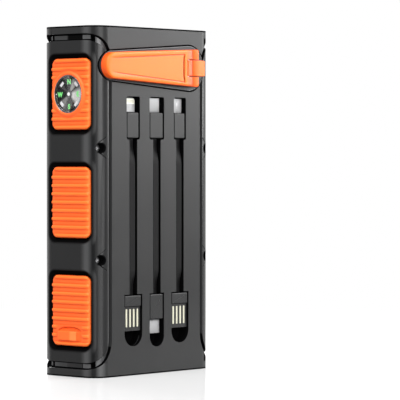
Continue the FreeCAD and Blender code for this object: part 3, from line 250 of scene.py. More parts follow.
# painted reflection bands of gloss and tone up the case's sides, fixed to the case; each stop is a place along
# the side, in millimetres towards the front or back, and a level
bands = {"low": -18.0, "high": 18.0, "skin": 0.8, "lowFrom": 6.2, "lowTo": 7.0,
         "gloss": ((-18.0, 0.5), (-17.97, 0.38), (-17.7, 0.45), (-17.5, 0.6), (-17.3, 0.65), (-17.0, 0.56),
                   (-16.75, 0.52), (-16.5, 0.45), (-16.1, 0.34), (-15.75, 0.22), (-15.45, 0.07),
                   (-15.1, 0.015), (-14.7, 0.01), (-14.3, 0.04), (-14.05, 0.25), (-13.8, 0.5), (11.2, 0.5),
                   (12.2, 0.9), (13.4, 1.0)),
         "lift": ((-14.1, 0.0), (-13.2, 0.45), (-12.2, 0.95), (-10.9, 1.0), (-10.0, 0.62), (-9.0, 0.25),
                  (-8.0, 0.0)),
         "floor": ((-16.0, 0.3), (-15.9, 0.7), (-14.3, 0.85), (-14.15, 0.0), (-12.4, 0.0), (-12.2, 0.8),
                   (-7.9, 1.0), (-7.7, 0.0), (-7.3, 0.03), (1.2, 0.03), (2.5, 0.5), (10.1, 0.5), (10.3, 0.0),
                   (11.6, 0.0), (11.75, 1.0), (13.2, 0.9), (14.0, 0.0)),
         "lowerFloor": ((-7.4, 0.0), (-7.3, 0.3), (1.6, 0.34), (10.1, 0.7), (10.2, 0.0)),
         "foot": ((-17.95, 0.0), (-17.7, 0.6), (-16.8, 1.0), (-16.0, 0.4), (-15.5, 0.0)),
         "besideNear": 3.5, "besideFar": 5.5, "besideGloss": 0.8, "facing": 10.5, "facingLoss": 0.55,
         "liftSheenTone": (0.055, 0.0553, 0.0565), "footSheenTone": (0.075, 0.0755, 0.077)}


def makeSideBands():
    # painted reflection: the bands of light and dark, as gloss and tone masks, that run up the case's long
    # sides and round its corners
    group, given, out = newGroup("sideBands", {"From": 31.6}, ("Gloss", "Lift", "Floor", "Low"))
    place = placeGroup(group, padHalo)
    side = times(above(fromMiddleX(group), given["From"]),
                 below(placeGroup(group, caseDepth)["Depth"], bands["skin"]))

    def level(name):
        return rampNode(place["Along"], bands[name], bands["low"], bands["high"])

    beside = mapRange(place["Distance"], bands["besideFar"], bands["besideNear"], last=bands["besideGloss"],
                      smooth=True)
    facing = times(above(axesOf(group)[0], 0.0), above(place["Along"], bands["facing"]))
    gloss = times(larger(times(level("gloss"), 2.0), beside), without(times(facing, bands["facingLoss"])))
    feed(out["Gloss"], plus(times(minus(gloss, 1.0), side), 1.0))
    feed(out["Lift"], times(level("lift"), side))
    lower = times(below(place["Up"], caseMiddle), level("lowerFloor"))
    feed(out["Floor"], larger(level("floor"), lower))
    under = mapRange(place["Up"], bands["lowTo"], bands["lowFrom"], smooth=True)
    feed(out["Low"], times(level("foot"), under, side))
    return group


sideBands = makeSideBands()


def mouldedMaterial(name, dark, pale, rough, spread, grain, bump, specular=0.5):
    # moulded plastic or rubber: tone and gloss drift a little, over a fine grain
    material, tree, inputs = newMaterial(name, pale, rough, specular=specular)
    made = placeGroup(tree, mouldGrain, {"Size": grain})
    feed(inputs["Base Color"], mixColours(mapRange(made["Tone"], 0.3, 0.7), dark, pale))
    feed(inputs["Roughness"], mapRange(made["Patch"], 0.3, 0.7, rough - spread, rough + spread))
    feedNormal(inputs, made["Height"], bump)
    return material


def metalMaterial(name, colour, rough, stretch=(1, 1, 30), bump=0.000004, metallic=1.0):
    # drawn or machined metal: fine lines along one axis
    material, tree, inputs = newMaterial(name, colour, rough, metallic)
    mapping = addNode(tree, "ShaderNodeMapping", None, {"Vector": position(tree), "Scale": stretch})
    lines = noiseOf(mapping.outputs[0], 900.0, 3.0)
    feed(inputs["Roughness"], mapRange(lines, 0.3, 0.7, rough - 0.06, rough + 0.1))
    feedNormal(inputs, lines, bump)
    return material


# painted shade: the near-black tone inside slots, lips, grooves and holes of the case, and painted reflection
# segments on the groove floor
recess = {"shine": 0.2, "shade": (0.0025, 0.0025, 0.0027), "endSkin": 0.05,
          "floor": 2.0, "floorBand": 0.12, "floorFrom": 73.9, "curveFrom": -12.4, "curveUp": 62.0,
          "floorReflectionTone": (0.11, 0.111, 0.114), "floorDark": (0.001, 0.001, 0.001), "floorRough": 0.14,
          "floorGleam": 0.5, "slitUp": 66.0, "slitAt": 31.0, "slitHalf": 1.6,
          "slitTone": (0.042, 0.0423, 0.043), "rim": 0.7, "rimDeep": 0.35,
          "holeX": 35.8, "holeMiddle": 78.95, "holeApart": 25.45,
          "holeRadius": 2.5, "holeLip": 1.4, "wallFrom": 12.2, "wallHigh": 6.6, "wallLow": 3.55, "wallX": 34.0}


def recessMasks(tree, start, end):
    # depth and place by the case, distances from half height and from the ends, and a mask of what is inside,
    # where shade is painted
    depth = placeGroup(tree, caseDepth)["Depth"]
    place = placeGroup(tree, padHalo)
    fromMiddle = magnitude(minus(place["Up"], caseMiddle))
    fromEnd = minus(caseMiddle, fromMiddle)
    inside = times(mapRange(depth, start, end, smooth=True), above(fromEnd, recess["endSkin"]))
    return depth, place, fromMiddle, fromEnd, inside


def edgeMask(tree, depth, place, fromEnd):
    # painted shade: the end edges, the screw holes and the groove's wall at the ends, which are all painted
    # near black
    across = fromMiddleX(tree)
    rim = times(below(fromEnd, recess["rim"]), below(depth, recess["rimDeep"]))
    fromAxis = minus(across, recess["holeX"])
    fromHole = minus(magnitude(minus(place["Up"], recess["holeMiddle"])), recess["holeApart"])
    hole = times(below(hypotenuse(fromAxis, fromHole), recess["holeRadius"]),
                 below(fromAxis, recess["holeLip"]))
    wall = times(above(place["Along"], recess["wallFrom"]), below(fromEnd, recess["wallHigh"]),
                 above(fromEnd, recess["wallLow"]), above(across, recess["wallX"]))
    return larger(rim, hole, wall)


def darkenGrip(material, start, end):
    # painted shade: the grips are darker deep in their slots
    inputs = shaderOf(material)
    inside = recessMasks(material.node_tree, start, end)[-1]
    feed(inputs["Specular IOR Level"], mapRange(inside, first=recess["shine"], last=0.0))
    feed(inputs["Base Color"], mixColours(inside, fedBy(inputs["Base Color"]), recess["shade"]))


def darkenCase(material, start, end):
    # painted shade: slots, lips and grooves of the case are darker inside; the groove's own floor is polished
    # and carries painted light and dark reflection segments
    tree, inputs = material.node_tree, shaderOf(material)
    depth, place, fromMiddle, fromEnd, inside = recessMasks(tree, start, end)
    curved = times(below(place["Along"], recess["curveFrom"]), above(fromMiddle, recess["curveUp"]))
    polished = times(larger(above(fromMiddle, recess["floorFrom"]), curved),
                     below(magnitude(minus(depth, recess["floor"])), recess["floorBand"]))
    side = placeGroup(tree, sideBands)
    edges = edgeMask(tree, depth, place, fromEnd)
    shine = larger(times(mapRange(inside, first=recess["shine"], last=0.0), side["Gloss"]),
                   times(polished, times(side["Floor"], recess["floorGleam"])))
    feed(inputs["Specular IOR Level"], times(shine, without(edges), without(below(fromEnd, recess["endSkin"]))))
    # the vertical groove's painted shade is lifted to dark grey
    slit = times(below(fromMiddle, recess["slitUp"]), inside,
                 below(magnitude(minus(fromMiddleX(tree), recess["slitAt"])), recess["slitHalf"]))
    # painted reflection: light and dark segments along the groove floor
    floorReflectionTone = mixColours(side["Floor"], recess["floorDark"], recess["floorReflectionTone"])
    tone = fedBy(inputs["Base Color"])
    for mask, colour in ((side["Lift"], bands["liftSheenTone"]), (side["Low"], bands["footSheenTone"]),
                         (edges, recess["shade"]), (inside, recess["shade"]), (slit, recess["slitTone"]),
                         (polished, floorReflectionTone)):
        tone = mixColours(mask, tone, colour)
    feed(inputs["Base Color"], tone)
    rough = {0: polished, 2: fedBy(inputs["Roughness"]), 3: recess["floorRough"]}
    feed(inputs["Roughness"], addNode(tree, "ShaderNodeMix", None, rough).outputs[0])


# painted highlight on the guard's front edge, and more gloss at its corner
guardEdgeHighlight = {"from": 32.35, "up": 66.0, "tone": (0.033, 0.0332, 0.034), "cornerFrom": 15.2, "cornerTo": 15.8,
             "cornerGloss": 1.5, "nearLoss": 0.8}


def shadeGuard(material):
    # painted shade: the guard is near black round each pad; painted highlight: its front edge is a little paler
    tree, inputs = material.node_tree, shaderOf(material)
    place = placeGroup(tree, padHalo)
    near = mapRange(place["Distance"], halo["far"], halo["near"], smooth=True)
    edge = times(below(fromMiddleX(tree), guardEdgeHighlight["from"]),
                 below(magnitude(minus(place["Up"], caseMiddle)), guardEdgeHighlight["up"]))
    tone = mixColours(edge, fedBy(inputs["Base Color"]), guardEdgeHighlight["tone"])
    feed(inputs["Base Color"], mixColours(near, tone, recess["shade"]))
    corner = mapRange(magnitude(place["Along"]), guardEdgeHighlight["cornerFrom"], guardEdgeHighlight["cornerTo"], 1.0,
                      guardEdgeHighlight["cornerGloss"], True)
    shine = times(fedBy(inputs["Specular IOR Level"]), corner, without(times(near, guardEdgeHighlight["nearLoss"])))
    feed(inputs["Specular IOR Level"], shine)


# painted light and shade: the crest level where a tone starts and where it is full, for lit crests, pale lit
# bends, shaded dips and fine shaded outlines
crestLightTones = ((0.0, 1.0, (1.0, 0.172, 0.026)), (1.0, 2.0, (1.0, 0.27, 0.085)),
              (0.0, -1.0, (0.8, 0.078, 0.006)), (-1.0, -2.0, (0.12, 0.012, 0.001)))


# paints light and shade into the colour from each piece's crest attribute
def paintCrestLight(material):
    inputs = shaderOf(material)
    crest = addNode(material.node_tree, "ShaderNodeAttribute", {"attribute_name": "crest"}).outputs["Fac"]
    tone = fedBy(inputs["Base Color"])
    for start, full, colour in crestLightTones:
        tone = mixColours(mapRange(crest, start, full), tone, colour)
    feed(inputs["Base Color"], tone)


# by slot: name, dark tone, pale tone, roughness and its spread, grain size, bump height and gloss
mouldings = {
    "case_plastic": ("graphitePlastic", (0.0155, 0.0157, 0.016), (0.0195, 0.0197, 0.02), 0.33, 0.03, 0.00035,
                     0.000008, 0.2),
    "guard_plastic": ("guardPlastic", (0.0095, 0.0096, 0.01), (0.012, 0.0121, 0.0125), 0.24, 0.03, 0.0004,
                      0.000006, 0.2),
    "pad_rubber": ("orangeRubber", (0.93, 0.12, 0.02), (1.0, 0.148, 0.028), 0.42, 0.05, 0.0003, 0.00001, 0.2),
    "crank_plastic": ("orangePlastic", (0.95, 0.138, 0.01), (1.0, 0.165, 0.014), 0.34, 0.03, 0.0003, 0.000005,
                      0.25),
    "solar_cell": ("solarCell", (0.013, 0.0135, 0.0145), (0.017, 0.0175, 0.019), 0.3, 0.03, 0.0008, 0.000001,
                   0.25),
    "lens_plastic": ("lensPlastic", (0.1, 0.2, 0.8), (0.12, 0.25, 0.9), 0.2, 0.03, 0.0008, 0.000001),
    "clear_lens": ("clearLens", (0.8, 0.82, 0.82), (0.85, 0.86, 0.86), 0.05, 0.01, 0.001, 0.0000005),
    "dial_plastic": ("dialPlastic", (0.006, 0.006, 0.007), (0.01, 0.01, 0.011), 0.3, 0.03, 0.0003, 0.000004),
    "button_plastic": ("buttonPlastic", (0.014, 0.014, 0.015), (0.02, 0.02, 0.021), 0.45, 0.04, 0.0003,
                       0.00001),
    "seal_rubber": ("sealRubber", (0.006, 0.006, 0.006), (0.012, 0.012, 0.012), 0.7, 0.05, 0.0003, 0.00001),
    "cable_rubber": ("cableRubber", (0.0045, 0.0045, 0.0047), (0.006, 0.006, 0.0063), 0.5, 0.05, 0.0003,
                     0.00001, 0.08),
    "grip_plastic": ("gripPlastic", (0.016, 0.0162, 0.0165), (0.02, 0.0202, 0.0206), 0.33, 0.03, 0.0003,
                     0.000008, 0.2),
    "tongue_plastic": ("tonguePlastic", (0.016, 0.016, 0.0165), (0.02, 0.02, 0.0205), 0.33, 0.04, 0.0003,
                       0.000008, 0.2),
    "gear_plastic": ("gearPlastic", (0.62, 0.6, 0.54), (0.7, 0.69, 0.63), 0.4, 0.04, 0.0005, 0.000004),
    "board_laminate": ("boardLaminate", (0.012, 0.12, 0.05), (0.02, 0.16, 0.07), 0.35, 0.04, 0.0006, 0.000004),
    "part_plastic": ("partPlastic", (0.012, 0.012, 0.012), (0.02, 0.02, 0.02), 0.45, 0.05, 0.0004, 0.00001),
}
# the same for finishes of single pieces, by name
detailMouldings = {
    "dialGreen": ((0.16, 0.78, 0.18), (0.22, 0.88, 0.24), 0.4, 0.04, 0.0003, 0.000002),
    "dialSilver": ((0.62, 0.61, 0.63), (0.74, 0.73, 0.75), 0.3, 0.04, 0.0003, 0.000002),
    "dialWhite": ((0.84, 0.85, 0.84), (0.9, 0.9, 0.9), 0.3, 0.04, 0.0003, 0.000002),
    # a pale finish that paints a highlight on the crank seat's edge
    "beadHighlight": ((0.05, 0.051, 0.054), (0.07, 0.071, 0.074), 0.3, 0.04, 0.0004, 0.000004, 0.4),
    "symbolPaint": ((0.003, 0.003, 0.003), (0.005, 0.005, 0.005), 0.5, 0.05, 0.0003, 0.000004, 0.2),
    "paleField": ((0.7, 0.7, 0.6), (0.78, 0.78, 0.68), 0.4, 0.04, 0.0003, 0.000002),
    "cellSilver": ((0.06, 0.062, 0.072), (0.078, 0.08, 0.092), 0.3, 0.04, 0.001, 0.000001, 0.4),
    "blueLens": ((0.018, 0.075, 0.6), (0.025, 0.1, 0.75), 0.25, 0.04, 0.0006, 0.000001),
    "greenLens": ((0.02, 0.36, 0.14), (0.03, 0.45, 0.18), 0.25, 0.04, 0.0006, 0.000001),
    "smokedLens": ((0.012, 0.0125, 0.013), (0.018, 0.0185, 0.019), 0.2, 0.04, 0.0006, 0.000001),
    "iconWhite": ((0.66, 0.68, 0.66), (0.74, 0.76, 0.74), 0.4, 0.04, 0.0006, 0.000001),
}
finishes = {
    "cell_foil": metalMaterial("cellFoil", (0.6, 0.61, 0.63), 0.35, (1, 30, 1)),
    "plug_metal": metalMaterial("plugMetal", (0.36, 0.36, 0.365), 0.46, (30, 1, 1), metallic=0.25),
    "contact_metal": metalMaterial("contactMetal", (0.5, 0.49, 0.38), 0.5, (30, 1, 1), metallic=0.15),
    # a darker copy of the plug metal, painted shade for the lower plug
    "shadedPlugMetal": metalMaterial("shadedPlugMetal", (0.2, 0.2, 0.204), 0.5, (30, 1, 1), metallic=0.25),
    "steel": metalMaterial("steel", (0.5, 0.5, 0.51), 0.3),
    "brass": metalMaterial("brassBush", (0.78, 0.58, 0.28), 0.3),
    "copper": metalMaterial("copperWire", (0.8, 0.36, 0.18), 0.35, (1, 40, 1), 0.00004),
    "chrome": metalMaterial("chromeRim", (0.36, 0.36, 0.37), 0.2, (30, 1, 1), 0.000001),
}
finishes.update({slot: mouldedMaterial(*values) for slot, values in mouldings.items()})
finishes.update({name: mouldedMaterial(name, *values) for name, values in detailMouldings.items()})
slotOf = {item["node"]: item["material_slot"] for item in frame["record"]["subparts"]}
for name, nodeObject in nodes.items():
    for index in range(max(1, len(nodeObject.material_slots))):
        if not nodeObject.material_slots:
            nodeObject.data.materials.append(None)
        nodeObject.material_slots[index].material = finishes[slotOf[name]]
darkenCase(finishes["case_plastic"], 0.1, 0.32)
darkenCase(finishes["guard_plastic"], 0.1, 0.32)
darkenGrip(finishes["grip_plastic"], 0.31, 0.5)
shadeGuard(finishes["guard_plastic"])
paintCrestLight(finishes["pad_rubber"])
paintCrestLight(finishes["crank_plastic"])
print("finishes made:", len(finishes))


# edges of the moulded and turned pieces, in millimetres

edgeRadius = {"front_shell": 0.15, "back_shell": 0.15, "lead_right_bottom_plug": 0.06, "crank_arm": 0.35,
              "crank_knob": 0.35, "power_button": 0.2}
plainEdge = 0.12


def shadeByFace(nodeObject):
    nodeObject.modifiers.new("shade", "WEIGHTED_NORMAL").keep_sharp = False


def softenEdges(nodeObject, radius):
    weld = nodeObject.modifiers.new("weld", "WELD")
    weld.merge_threshold = 0.000001
    flat = nodeObject.modifiers.new("flatFaces", "DECIMATE")
    flat.decimate_type = "DISSOLVE"
    flat.angle_limit = math.radians(1)
    bevel = nodeObject.modifiers.new("edges", "BEVEL")
    bevel.width = radius * mm
    bevel.segments = 2
    bevel.limit_method = "ANGLE"
    bevel.angle_limit = math.radians(35)
    bevel.use_clamp_overlap = False
    shadeByFace(nodeObject)
    for polygon in nodeObject.data.polygons:
        polygon.use_smooth = True


for name, nodeObject in nodes.items():
    softenEdges(nodeObject, edgeRadius.get(name, plainEdge))
print("edges softened")


# small helpers for meshes, all in millimetres

def boxOf(node):
    return [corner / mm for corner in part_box(node)]


def addPiece(name, mesh, finish, slot=None, body="case", replaced=None):
    # the slot is not used
    piece = bpy.data.objects.new(name, mesh)
    bpy.context.scene.collection.objects.link(piece)
    mesh.materials.append(finishes[finish])
    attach(piece, body)
    if replaced:
        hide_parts(replaced)
    return piece


def buildMesh(name, points, faces, smooth=True):
    mesh = bpy.data.meshes.new(name)
    mesh.from_pydata([Vector(point) * mm for point in points], [], faces)
    work = bmesh.new()
    work.from_mesh(mesh)
    bmesh.ops.recalc_face_normals(work, faces=work.faces)
    work.to_mesh(mesh)
    work.free()
    for polygon in mesh.polygons:
        polygon.use_smooth = smooth
    return mesh


def bandFaces(a, b, count):
    # four-sided faces between two rings of points, whose first points are a and b
    return [(a + j, a + (j + 1) % count, b + (j + 1) % count, b + j) for j in range(count)]


def ringFaces(rings, count, closed=False, start=0):
    # the faces between rings with count points each, back to the first ring where they close
    faces = []
    for k in range(rings if closed else rings - 1):
        faces += bandFaces(start + k * count, start + (k + 1) % rings * count, count)
    return faces


def slabMesh(name, top, bottom, keep=None):
    # top and bottom are equal grids of points; the kept cells become one closed slab
    rows, columns = len(top), len(top[0])
    cells = {(i, j) for i in range(rows - 1) for j in range(columns - 1) if keep is None or keep(top, i, j)}
    index, points = {}, []

    def pointAt(layer, i, j):
        if (layer, i, j) not in index:
            index[layer, i, j] = len(points)
            points.append((top if layer else bottom)[i][j])
        return index[layer, i, j]

    faces = []
    for i, j in sorted(cells):
        corners = ((i, j), (i, j + 1), (i + 1, j + 1), (i + 1, j))
        faces.append([pointAt(1, *corner) for corner in corners])
        faces.append([pointAt(0, *corner) for corner in reversed(corners)])
        for k, beside in enumerate(((i - 1, j), (i, j + 1), (i + 1, j), (i, j - 1))):
            if beside not in cells:
                a, b = corners[k], corners[(k + 1) % 4]
                faces.append([pointAt(1, *b), pointAt(1, *a), pointAt(0, *a), pointAt(0, *b)])
    return buildMesh(name, points, faces)


def turnedPoints(profile, centre, axis, steps):
    # a profile of radius and distance outwards, repeated about an axis
    across = Vector((0, 1, 0)) if abs(axis.x) > 0.5 else Vector((1, 0, 0))
    beside = axis.cross(across)
    points = []
    for k in range(steps):
        angle = 2 * math.pi * k / steps
        spoke = across * math.cos(angle) + beside * math.sin(angle)
        points += [Vector(centre) + spoke * radius + axis * out for radius, out in profile]
    return points


def latheMesh(name, profile, centre, way, steps=96):
    # a closed profile, turned into a ring
    points = turnedPoints(profile, centre, Vector(way), steps)
    return buildMesh(name, points, ringFaces(steps, len(profile), True))


def discMesh(name, profile, centre, way, steps=96):
    # a profile that starts and ends on the axis, turned into a closed solid
    axis, inner = Vector(way), profile[1:-1]
    points = [Vector(centre) + axis * profile[0][1], Vector(centre) + axis * profile[-1][1]]
    points += turnedPoints(inner, centre, axis, steps)
    faces, count = [], len(inner)
    for k in range(steps):
        a, b = 2 + k * count, 2 + ((k + 1) % steps) * count
        faces += [(0, a, b), (1, b + count - 1, a + count - 1)] + bandFaces(a, b, count)[:-1]
    return buildMesh(name, points, faces)


def ease(value):
    value = min(1.0, max(0.0, value))
    return value * value * (3 - 2 * value)


# ribbed orange pads, the compass ring and the port cover

padShape = {"flatHalf": 10.0, "caseRound": 8.0, "inset": 0.5, "back": 1.95, "corner": 3.2, "roll": 0.85,
            "ribPitch": 3.8, "ribHalf": 4, "ribTop": 0.36, "ribFoot": 0.92, "grooveDeep": 0.1, "grooveAt": 1.15,
            "grooveHalf": 0.28, "dipAt": 1.0, "dipHalf": 0.4, "farBump": 0.4, "farReach": 0.9, "farFrom": 1.2,
            "farOver": 1.6, "fadeStart": 0.15, "fadeEnd": 0.9, "pitchAcross": 1.1, "pullOver": 6.0,
            "rimHighlight": 0.7, "rimWide": 3.0, "closest": 0.24, "clear": 0.4}
edgeSteps = (0.0, 0.05, 0.16, 0.32, 0.55, 0.85, 1.25, 1.7, 2.3)
ribSteps = (-1.5, -1.25, -1.05, -0.9, -0.72, -0.54, -0.36, 0.0, 0.36, 0.54, 0.72, 0.9, 1.05, 1.25, 1.5)


def caseOut(y, inset):
    # how far out the case's side stands at y, moved inwards by inset
    turn = max(0.0, abs(y) - padShape["flatHalf"])
    reach = padShape["caseRound"] - inset
    return caseHalf - padShape["caseRound"] + math.sqrt(reach * reach - turn * turn)


def spreadOut(low, high, pitch, extra=()):
    # places from low to high, close together near both ends
    places = [low + step for step in edgeSteps] + [high - step for step in edgeSteps]
    count = round((high - low - 2 * edgeSteps[-1]) / pitch)
    places += [low + edgeSteps[-1] + (high - low - 2 * edgeSteps[-1]) * k / count for k in range(1, count)]
    apart = padShape["closest"]
    places = [place for place in places if all(abs(place - other) > apart for other in extra)]
    places = sorted(places + list(extra))
    kept = [places[0]]
    for place in places[1:]:
        if place - kept[-1] > 0.03:
            kept.append(place)
    return kept


def makePad(node, name, fades=None, feature=None, hole=None, tones=None, extraAcross=(), extraUp=()):
    # fades(y, z) is the share of a rib that stays, feature(y, z) stands proud, hole(y, z) says what is open,
    # tones(y, z) is a painted light and shade level, or None where the ribs' own painted level stays
    low, high = boxOf(node)
    side = -1 if low.x < 0 else 1
    shape = padShape
    yMiddle, zMiddle = (low.y + high.y) / 2, (low.z + high.z) / 2
    halfY, halfZ = (high.y - low.y) / 2, (high.z - low.z) / 2
    corner, roll, clear = shape["corner"], shape["roll"], shape["clear"]
    ribs = [zMiddle + k * shape["ribPitch"] for k in range(-shape["ribHalf"], shape["ribHalf"] + 1)]
    columns = spreadOut(low.y, high.y, shape["pitchAcross"], extraAcross)
    nearEnds = [low.z + step for step in edgeSteps[:4]] + [high.z - step for step in edgeSteps[:4]]
    ribRows = [rib + step for rib in ribs for step in ribSteps if low.z + clear < rib + step < high.z - clear]
    rows = sorted(nearEnds + ribRows + [rib + shape["ribPitch"] / 2 for rib in ribs[:-1]] + list(extraUp))

    def insideBy(y, z):
        across, up = abs(y - yMiddle) - (halfY - corner), abs(z - zMiddle) - (halfZ - corner)
        beyond = math.hypot(max(across, 0), max(up, 0)) + min(max(across, up), 0)
        return max(0.0, corner - beyond)

    def nearFar(y):
        return (y - low.y, high.y - y) if side < 0 else (high.y - y, y - low.y)

    def shareAt(y, z):
        near, far = nearFar(y)
        ends = ease((near - shape["fadeStart"]) / (shape["fadeEnd"] - shape["fadeStart"]))
        outermost = abs(z - zMiddle) > (shape["ribHalf"] - 0.5) * shape["ribPitch"]
        ends *= ease((far - shape["farFrom"]) / shape["farOver"]) if outermost else 1
        return ends * (fades(y, z) if fades else 1), outermost, far

    def crestAt(y, z):
        # painted highlight, 1 on a rib's crest, painted shade, -1 in the dips beside it, and a painted
        # highlight along the near rim
        fromRib = min(abs(z - rib) for rib in ribs)
        share = shareAt(y, z)[0]
        rib = ease((shape["ribFoot"] - fromRib) / shape["dipHalf"])
        dip = ease(1 - abs(fromRib - shape["dipAt"]) / shape["dipHalf"])
        rim = shape["rimHighlight"] * ease(1 - nearFar(y)[0] / shape["rimWide"])
        return (rib * share * (1 - dip) - dip * share) * (1 - rim) + rim

    def insetAt(y, z):
        turn = max(0.0, 1 - insideBy(y, z) / roll)
        drop = roll * (1 - math.sqrt(1 - turn * turn))
        fromRib = min(abs(z - rib) for rib in ribs)
        rib = ease((shape["ribFoot"] - fromRib) / (shape["ribFoot"] - shape["ribTop"]))
        groove = ease(1 - abs(fromRib - shape["grooveAt"]) / shape["grooveHalf"])
        share, outermost, far = shareAt(y, z)
        if not outermost:
            drop *= 1 - shape["farBump"] * rib * share * ease(1 - far / shape["farReach"])
        inset = shape["inset"] * (1 - rib * share) + shape["grooveDeep"] * groove * share + drop
        return inset - feature(y, z) if feature else max(0.0, inset)

    top, bottom = [], []
    for z in rows:
        beyond = max(0.0, abs(z - zMiddle) - (halfZ - corner))
        pull = corner - math.sqrt(max(0.0, corner * corner - beyond * beyond))
        over = shape["pullOver"]
        line = [y + pull * (max(0, 1 - (y - low.y) / over) - max(0, 1 - (high.y - y) / over)) for y in columns]
        top.append([(side * caseOut(y, insetAt(y, z)), y, z) for y in line])
        bottom.append([(side * caseOut(y, shape["back"]), y, z) for y in line])

    def keep(grid, i, j):
        corners = [grid[i + a][j + b] for a in (0, 1) for b in (0, 1)]
        return not all(hole(point[1], point[2]) for point in corners)

    mesh = slabMesh(name, top, bottom, keep if hole else None)
    levels = []
    for vertex in mesh.vertices:
        y, z = vertex.co.y / mm, vertex.co.z / mm
        marked = tones(y, z) if tones else None
        levels.append(crestAt(y, z) if marked is None else marked)
    setCrest(mesh, levels)
    addPiece(name, mesh, "pad_rubber", body="cover" if node == "port_cover" else "case", replaced=node)


def setCrest(mesh, values):
    # painted light and shade: 1 is a yellower lit crest, -1 a deeper shaded dip, 0 plain
    crest = mesh.attributes.new("crest", "FLOAT", "POINT")
    for value, level in zip(crest.data, values):
        value.value = level


lensLow, lensHigh = boxOf("compass_lens")
compassAt, lensRadius = (lensLow + lensHigh) / 2, (lensHigh.y - lensLow.y) / 2
buttonLow, buttonHigh = boxOf("power_button")
buttonAt, buttonRadius = (buttonLow + buttonHigh) / 2, (buttonHigh.y - buttonLow.y) / 2

# radius past the round piece inside it, and height over the case's side
roundRings = {
    "compassRing": ((0.02, -1.9), (0.02, -0.5), (0.06, -0.2), (0.2, 0.04), (0.42, 0.15), (0.68, 0.2),
                    (0.9, 0.17), (1.15, 0.04), (1.45, -0.2), (1.7, -0.4), (1.95, -0.58), (1.95, -1.9)),
    "buttonRing": ((0.32, -1.9), (0.32, -0.45), (0.4, -0.2), (0.58, -0.04), (0.8, -0.02), (1.0, -0.12),
                   (1.2, -0.35), (1.5, -0.6), (1.5, -1.9))}


def makeRoundPad(node, name, ringName, centre, side, radius, holePast, fadePast, fadeOver):
    # a pad with a round opening and a raised ring about it
    def away(y, z):
        return math.hypot(y - centre.y, z - centre.z) - radius

    makePad(node, name, hole=lambda y, z: away(y, z) < holePast,
            fades=lambda y, z: ease((away(y, z) - fadePast) / fadeOver))
    profile = [(radius + across, caseHalf + out) for across, out in roundRings[ringName]]
    mesh = latheMesh(ringName, profile, (0, centre.y, centre.z), (side, 0, 0))
    addPiece(ringName, mesh, "pad_rubber", replaced=node)


coverTab = {"left": 6.2, "fold": -1.9, "right": -5.6, "chamfer": -7.9, "low": 16.7, "high": 20.8, "tall": 0.9,
            "foldTall": 0.55, "scoopHigh": 22.9, "scoopHalf": 7.2, "scoopDeep": 0.95, "edge": 0.28}


def scoopRoof(y):
    # the nail scoop's upper edge, and the share of its depth at y
    tab = coverTab
    middle = (tab["left"] + tab["chamfer"]) / 2
    bow = math.sqrt(max(0.0, 1 - ((y - middle) / tab["scoopHalf"]) ** 2))
    return tab["high"] + (tab["scoopHigh"] - tab["high"]) * bow, bow


def coverFeature(y, z):
    # the pull tab stands proud, and a lens-shaped nail scoop lies above it
    tab = coverTab
    fold = ease((tab["fold"] - y) / (tab["fold"] - tab["right"]))
    along = tab["tall"] - (tab["tall"] - tab["foldTall"]) * fold
    along *= ease((y - tab["chamfer"]) / (tab["right"] - tab["chamfer"]))
    along *= ease((tab["left"] - y) / tab["edge"])
    up = ease((z - tab["low"] + tab["edge"]) / tab["edge"]) * ease((tab["high"] - z) / tab["edge"])
    roof, bow = scoopRoof(y)
    scoop = ease((z - tab["high"]) / 0.25) * ease((roof - z) / 0.9) * bow
    return along * up - tab["scoopDeep"] * scoop


def coverFades(y, z):
    # ribs stop short of the tab and its scoop
    tab = coverTab
    across = max(tab["chamfer"] - 0.6 - y, y - tab["left"] - 1.0)
    up = max(tab["low"] - 0.4 - z, z - tab["scoopHigh"] - 0.2)
    return ease(max(across, up) / 0.7)


def coverLightTones(y, z):
    # painted highlight and shade: the tab's bent third is painted pale, its slope and outline painted deeper;
    # None leaves the ribs' own tone
    tab = coverTab
    if not tab["chamfer"] - 0.1 < y < tab["left"] + 0.1 or not tab["low"] - 0.35 < z < tab["scoopHigh"]:
        return None
    if z > tab["high"] + 0.05:
        roof = scoopRoof(y)[0]
        return (-1.6 if z > roof - 0.55 else 0.9) if z < roof + 0.05 else None
    if z < tab["low"] - 0.1 or z > tab["high"] - 0.1:
        return -1.3
    return 0.3 if y > tab["fold"] else 1.45 if y > tab["right"] else -0.4


makeRoundPad("compass_pad", "compassPad", "compassRing", compassAt, -1, lensRadius, 1.6, 2.2, 0.9)
makeRoundPad("power_pad", "powerPad", "buttonRing", buttonAt, 1, buttonRadius, 0.75, 1.5, 0.6)
makePad("left_middle_pad", "leftMiddlePad")
makePad("right_middle_pad", "rightMiddlePad")
makePad("right_lower_pad", "rightLowerPad")
makePad("port_cover", "portCover", fades=coverFades, feature=coverFeature, tones=coverLightTones,
        extraAcross=(-8.4, -7.9, -7.2, -6.5, -5.9, -5.6, -5.2, -1.9, 5.6, 5.92, 6.2, 6.6, 7.2),
        extraUp=(16.25, 16.42, 16.7, 17.2, 20.2, 20.52, 20.8, 21.05, 21.5, 22.0, 22.5, 22.9))
print("pads made")


# the compass under its lens

discOut, discThick = 38.9, 0.35
dial = {"letterOut": 5.7, "letterTall": 2.35, "letterWide": 0.92, "fontShare": 1.32, "letterThick": 0.06,
        "letterBold": 0.12, "barOut": 6.35, "barLong": 2.5, "barWide": 1.3, "tickOut": 8.05,
        "hubFrom": 0.0012, "hubTo": 0.0024, "lines": 0.55,
        # painted reflection sectors: each one's middle and half spread as angles, and its level
        "reflectionSectors": ((-0.2, 0.85, 0.5), (1.0, 0.38, 0.24), (-2.3, 0.42, 0.2), (2.45, 0.25, 0.05))}


